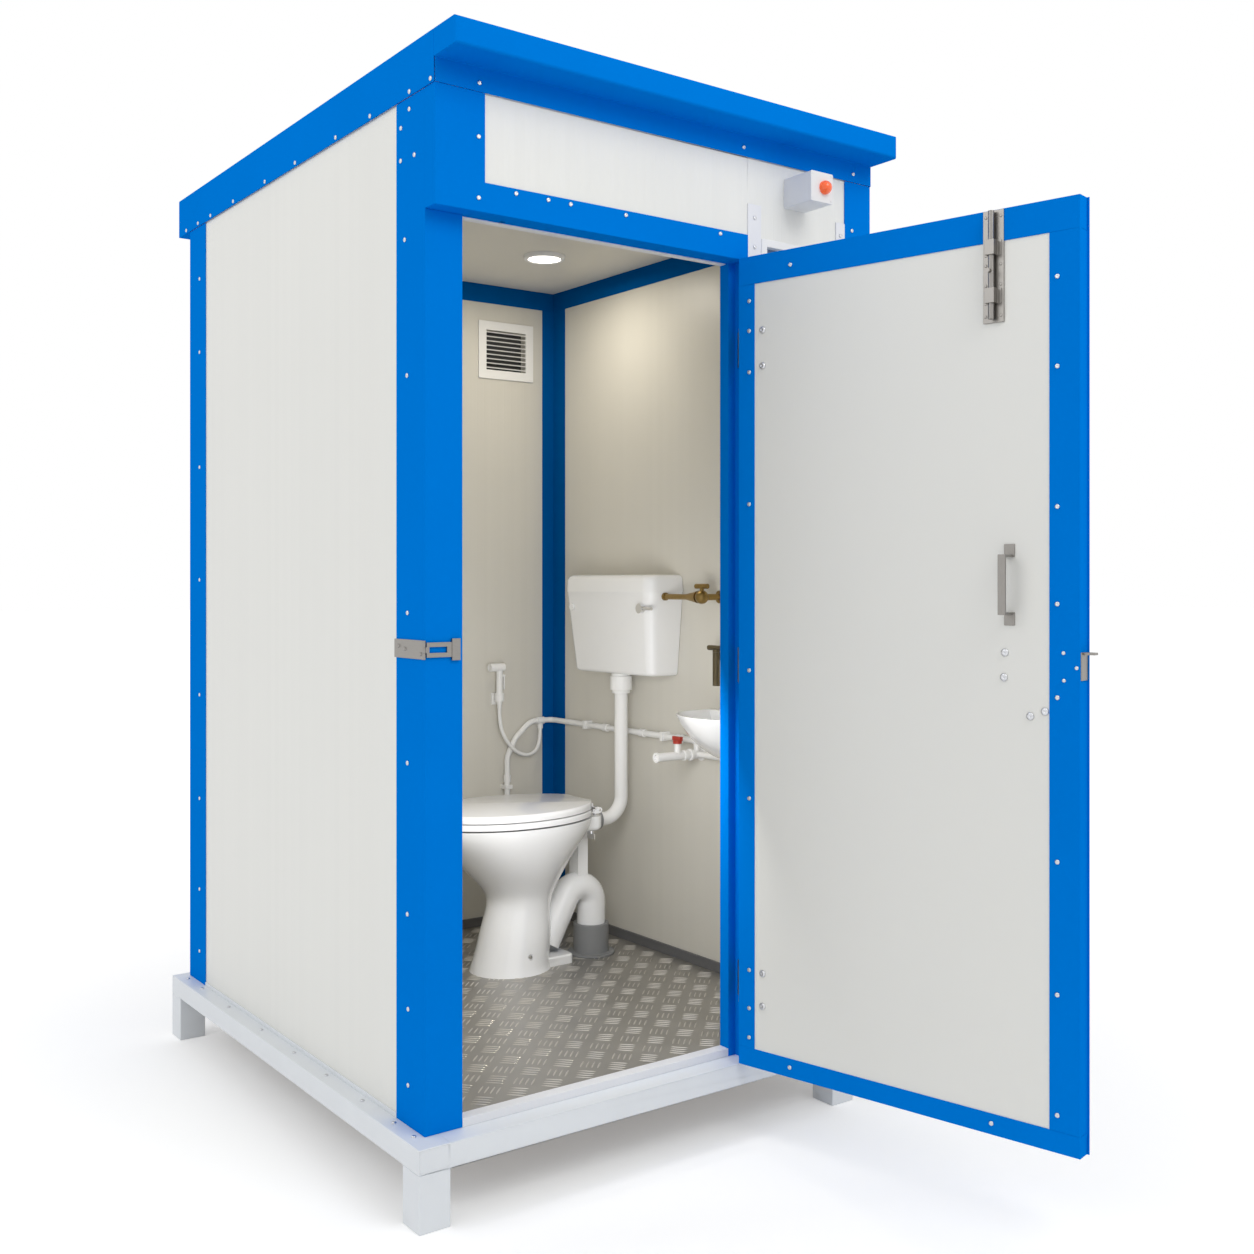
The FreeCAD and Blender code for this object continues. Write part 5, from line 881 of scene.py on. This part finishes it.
class CABIN_OT_plumbing(CabinOperator):
    """Pipes, taps, hand spray and its hose."""
    bl_idname = "cabin.plumbing"
    bl_label = "Plumbing"

    def make(self, finish, fittings, stage):
        for node, material in (("cistern_siphon", "plastic"), ("cistern_float_valve", "brass"),
                               ("float_arm", "brass"), ("flush_lever", "chrome"), ("flush_pipe", "plastic"),
                               ("flush_pipe_seal", "pipe grey"), ("supply_pipes", "plastic"),
                               ("bib_tap_body", "plastic"), ("bib_tap_handle", "red"),
                               ("basin_waste", "chrome"), ("basin_tap_body", "bronze"),
                               ("basin_tap_lever", "bronze"), ("bidet_holder", "plastic"),
                               ("bidet_handset", "plastic"), ("bidet_trigger", "plastic")):
            soften(node, material)
        self.hose()

    def hose(self):
        """The spray's hose, a free cord between the spray and the supply pipe's tail."""
        shift = Vector((0.0, FRONT_TO_MIDDLE, 0.0))
        points = [Vector(point) / 1000 - shift for point in HOSE_ROUTE]
        curve = bpy.data.curves.new("bidet_hose_line", "CURVE")
        curve.dimensions = "3D"
        curve.bevel_depth = HOSE_RADIUS
        curve.bevel_resolution = 5
        spline = curve.splines.new("NURBS")
        spline.points.add(len(points) - 1)
        for target, point in zip(spline.points, points):
            target.co = (*point, 1.0)
        spline.order_u = 3
        spline.use_endpoint_u = True
        spline.resolution_u = 16
        piece = add_object("bidet_hose_line", curve)
        curve.materials.append(MADE["plastic"])
        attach(piece, "cabin")
        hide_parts("bidet_hose")


class CABIN_OT_ironmongery(CabinOperator):
    """Hinges, tower bolt, handles, staple and hasp."""
    bl_idname = "cabin.ironmongery"
    bl_label = "Ironmongery"

    def make(self, finish, fittings, stage):
        for node in ("hinge_frame_leaves", "door_hinge_leaves"):
            soften(node, "steel up", 0.0004, 1)
        for node in ("tower_bolt_plate", "tower_bolt_rod", "door_handles", "door_staple"):
            soften(node, "steel up", 0.0008)
        for node in ("hasp_plate", "hasp_strap"):
            soften(node, "steel flat", 0.0006)


# The studio floor: half its side, and its glow to the camera, which rises from a half to full between two
# distances from the middle. All are in metres but the glow.
FLOOR_HALF = 60.0
FLOOR_GLOW = 0.42
GLOW_NEAR = 0.9
GLOW_FAR = 3.5

SENSOR_WIDTH = 36.0


class CABIN_OT_stage(CabinOperator):
    """Floor, light and the camera at the photograph's angle."""
    bl_idname = "cabin.stage"
    bl_label = "Stage"

    def make(self, finish, fittings, stage):
        self.floor()
        self.sky(stage)
        self.lights(fittings, stage)
        self.camera(stage)
        bpy.context.scene.view_settings.view_transform = "Standard"

    def floor(self):
        """A pale floor that shows white to the camera and keeps the cabin's soft shadow."""
        work = bmesh.new()
        bmesh.ops.create_grid(work, x_segments=1, y_segments=1, size=FLOOR_HALF)
        ground = add_object("studio_floor", finish_mesh(work, "studio_floor"))
        material, tree, shader = fresh_material("Studio Floor")
        place = add_node(tree, "ShaderNodeTexCoord").outputs["Object"]
        away = add_node(tree, "ShaderNodeVectorMath", {0: place}, operation="LENGTH")
        # The glow falls to half near the middle: the floor around the cabin is painted darker, a painted
        # shade that deepens its shadow.
        rise = add_node(tree, "ShaderNodeMapRange", {
            "Value": away.outputs["Value"], "From Min": GLOW_NEAR, "From Max": GLOW_FAR,
            "To Min": FLOOR_GLOW / 2, "To Max": FLOOR_GLOW}, interpolation_type="SMOOTHSTEP")
        glow = math_node(tree, "MULTIPLY", self.seen_directly(tree, 0.0, 1.0), rise.outputs["Result"])
        give(tree, shader, {"Base Color": (0.93, 0.93, 0.93, 1), "Roughness": 0.9, "Specular IOR Level": 0.0,
                            "Emission Color": (1, 1, 1, 1), "Emission Strength": glow})
        paint(ground, material)

    def seen_directly(self, tree, other, direct):
        """One level for camera, glossy and transmission rays, and another for the light itself."""
        rays = add_node(tree, "ShaderNodeLightPath").outputs
        seen = math_node(tree, "MAXIMUM", rays["Is Camera Ray"], rays["Is Glossy Ray"])
        seen = math_node(tree, "MAXIMUM", seen, rays["Is Transmission Ray"])
        return spread(tree, seen, other, direct)

    def sky(self, stage):
        world = bpy.data.worlds.new("Studio Sky")
        bpy.context.scene.world = world
        world.use_nodes = True
        tree = world.node_tree
        give(tree, tree.nodes["Background"], {"Color": (1.0, 1.0, 1.0, 1),
                                              "Strength": self.seen_directly(tree, stage.sky, 1.0)})

    def lights(self, fittings, stage):
        self.area("Key", place=(0.5, -3.6, 4.2), target=(0.1, -0.4, 1.5), size=2.6, power=stage.key,
                  rgb=(1.0, 0.995, 0.98))
        self.area("Fill", place=(-4.2, 0.2, 3.9), target=(-0.5, 0.3, 1.3), size=3.0, power=stage.fill,
                  rgb=(0.985, 0.99, 1.0))
        low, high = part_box("floor_tread_plate")
        inside = self.area("Doorway", place=((low.x + high.x) / 2 - 0.2, low.y + 0.12, 1.0),
                           target=(0.2, high.y, 0.45), size=0.55, power=stage.doorway, rgb=(1.0, 0.99, 0.97))
        inside.visible_glossy = False
        low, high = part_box("ceiling_light")
        middle = (low + high) / 2
        self.area("Room", place=(middle.x, middle.y, low.z - 0.012), target=(middle.x, middle.y, 0.0),
                  size=0.09, power=stage.room, rgb=tuple(fittings.lamp))

    def area(self, name, place, target, size, power, rgb):
        """A round soft light that the camera doesn't see."""
        light = bpy.data.lights.new(name, "AREA")
        light.shape = "DISK"
        light.size = size
        light.energy = power
        light.color = rgb
        lamp = add_object(name, light)
        lamp.location = place
        lamp.rotation_euler = (Vector(target) - Vector(place)).to_track_quat("-Z", "Y").to_euler()
        lamp.visible_camera = False
        return lamp

    def camera(self, stage):
        """A level camera that looks at the cabin as the photograph does."""
        camera = bpy.data.cameras.new("Photograph Camera")
        camera.lens = stage.lens
        camera.sensor_width = SENSOR_WIDTH
        camera.shift_y = (stage.horizon - PHOTO_SIDE / 2) / PHOTO_SIDE
        viewer = add_object("Photograph Camera", camera)
        viewer.location = Vector(stage.eye) - Vector((0.0, FRONT_TO_MIDDLE, 0.0))
        viewer.rotation_euler = (math.pi / 2, 0.0, -stage.yaw)
        bpy.context.scene.camera = viewer


class CABIN_PT_panel(bpy.types.Panel):
    """Lists the cabin's steps in the sidebar."""
    bl_idname = "CABIN_PT_panel"
    bl_label = "Toilet Cabin"
    bl_space_type = "VIEW_3D"
    bl_region_type = "UI"
    bl_category = "Cabin"

    def draw(self, context):
        for group in settings(context):
            box = self.layout.box()
            for name in group.bl_rna.properties.keys():
                if name not in {"rna_type", "name"}:
                    box.prop(group, name)
        for step in STEPS:
            self.layout.operator(step.bl_idname)


STEPS = (CABIN_OT_materials, CABIN_OT_panels, CABIN_OT_steelwork, CABIN_OT_screws, CABIN_OT_floor,
         CABIN_OT_openings, CABIN_OT_lamps, CABIN_OT_ceramics, CABIN_OT_plumbing, CABIN_OT_ironmongery,
         CABIN_OT_stage)
GROUPS_OF_SETTINGS = (("cabin_finish", CabinFinish), ("cabin_fittings", CabinFittings),
                      ("cabin_stage", CabinStage))


def register():
    for name, kind in GROUPS_OF_SETTINGS:
        bpy.utils.register_class(kind)
        setattr(bpy.types.Scene, name, bpy.props.PointerProperty(type=kind))
    for step in STEPS + (CABIN_PT_panel,):
        bpy.utils.register_class(step)


def unregister():
    for step in reversed(STEPS + (CABIN_PT_panel,)):
        bpy.utils.unregister_class(step)
    for name, kind in reversed(GROUPS_OF_SETTINGS):
        delattr(bpy.types.Scene, name)
        bpy.utils.unregister_class(kind)


def main():
    register()
    for step in STEPS:
        space, action = step.bl_idname.split(".")
        getattr(getattr(bpy.ops, space), action)()


if __name__ == "__main__":
    main()
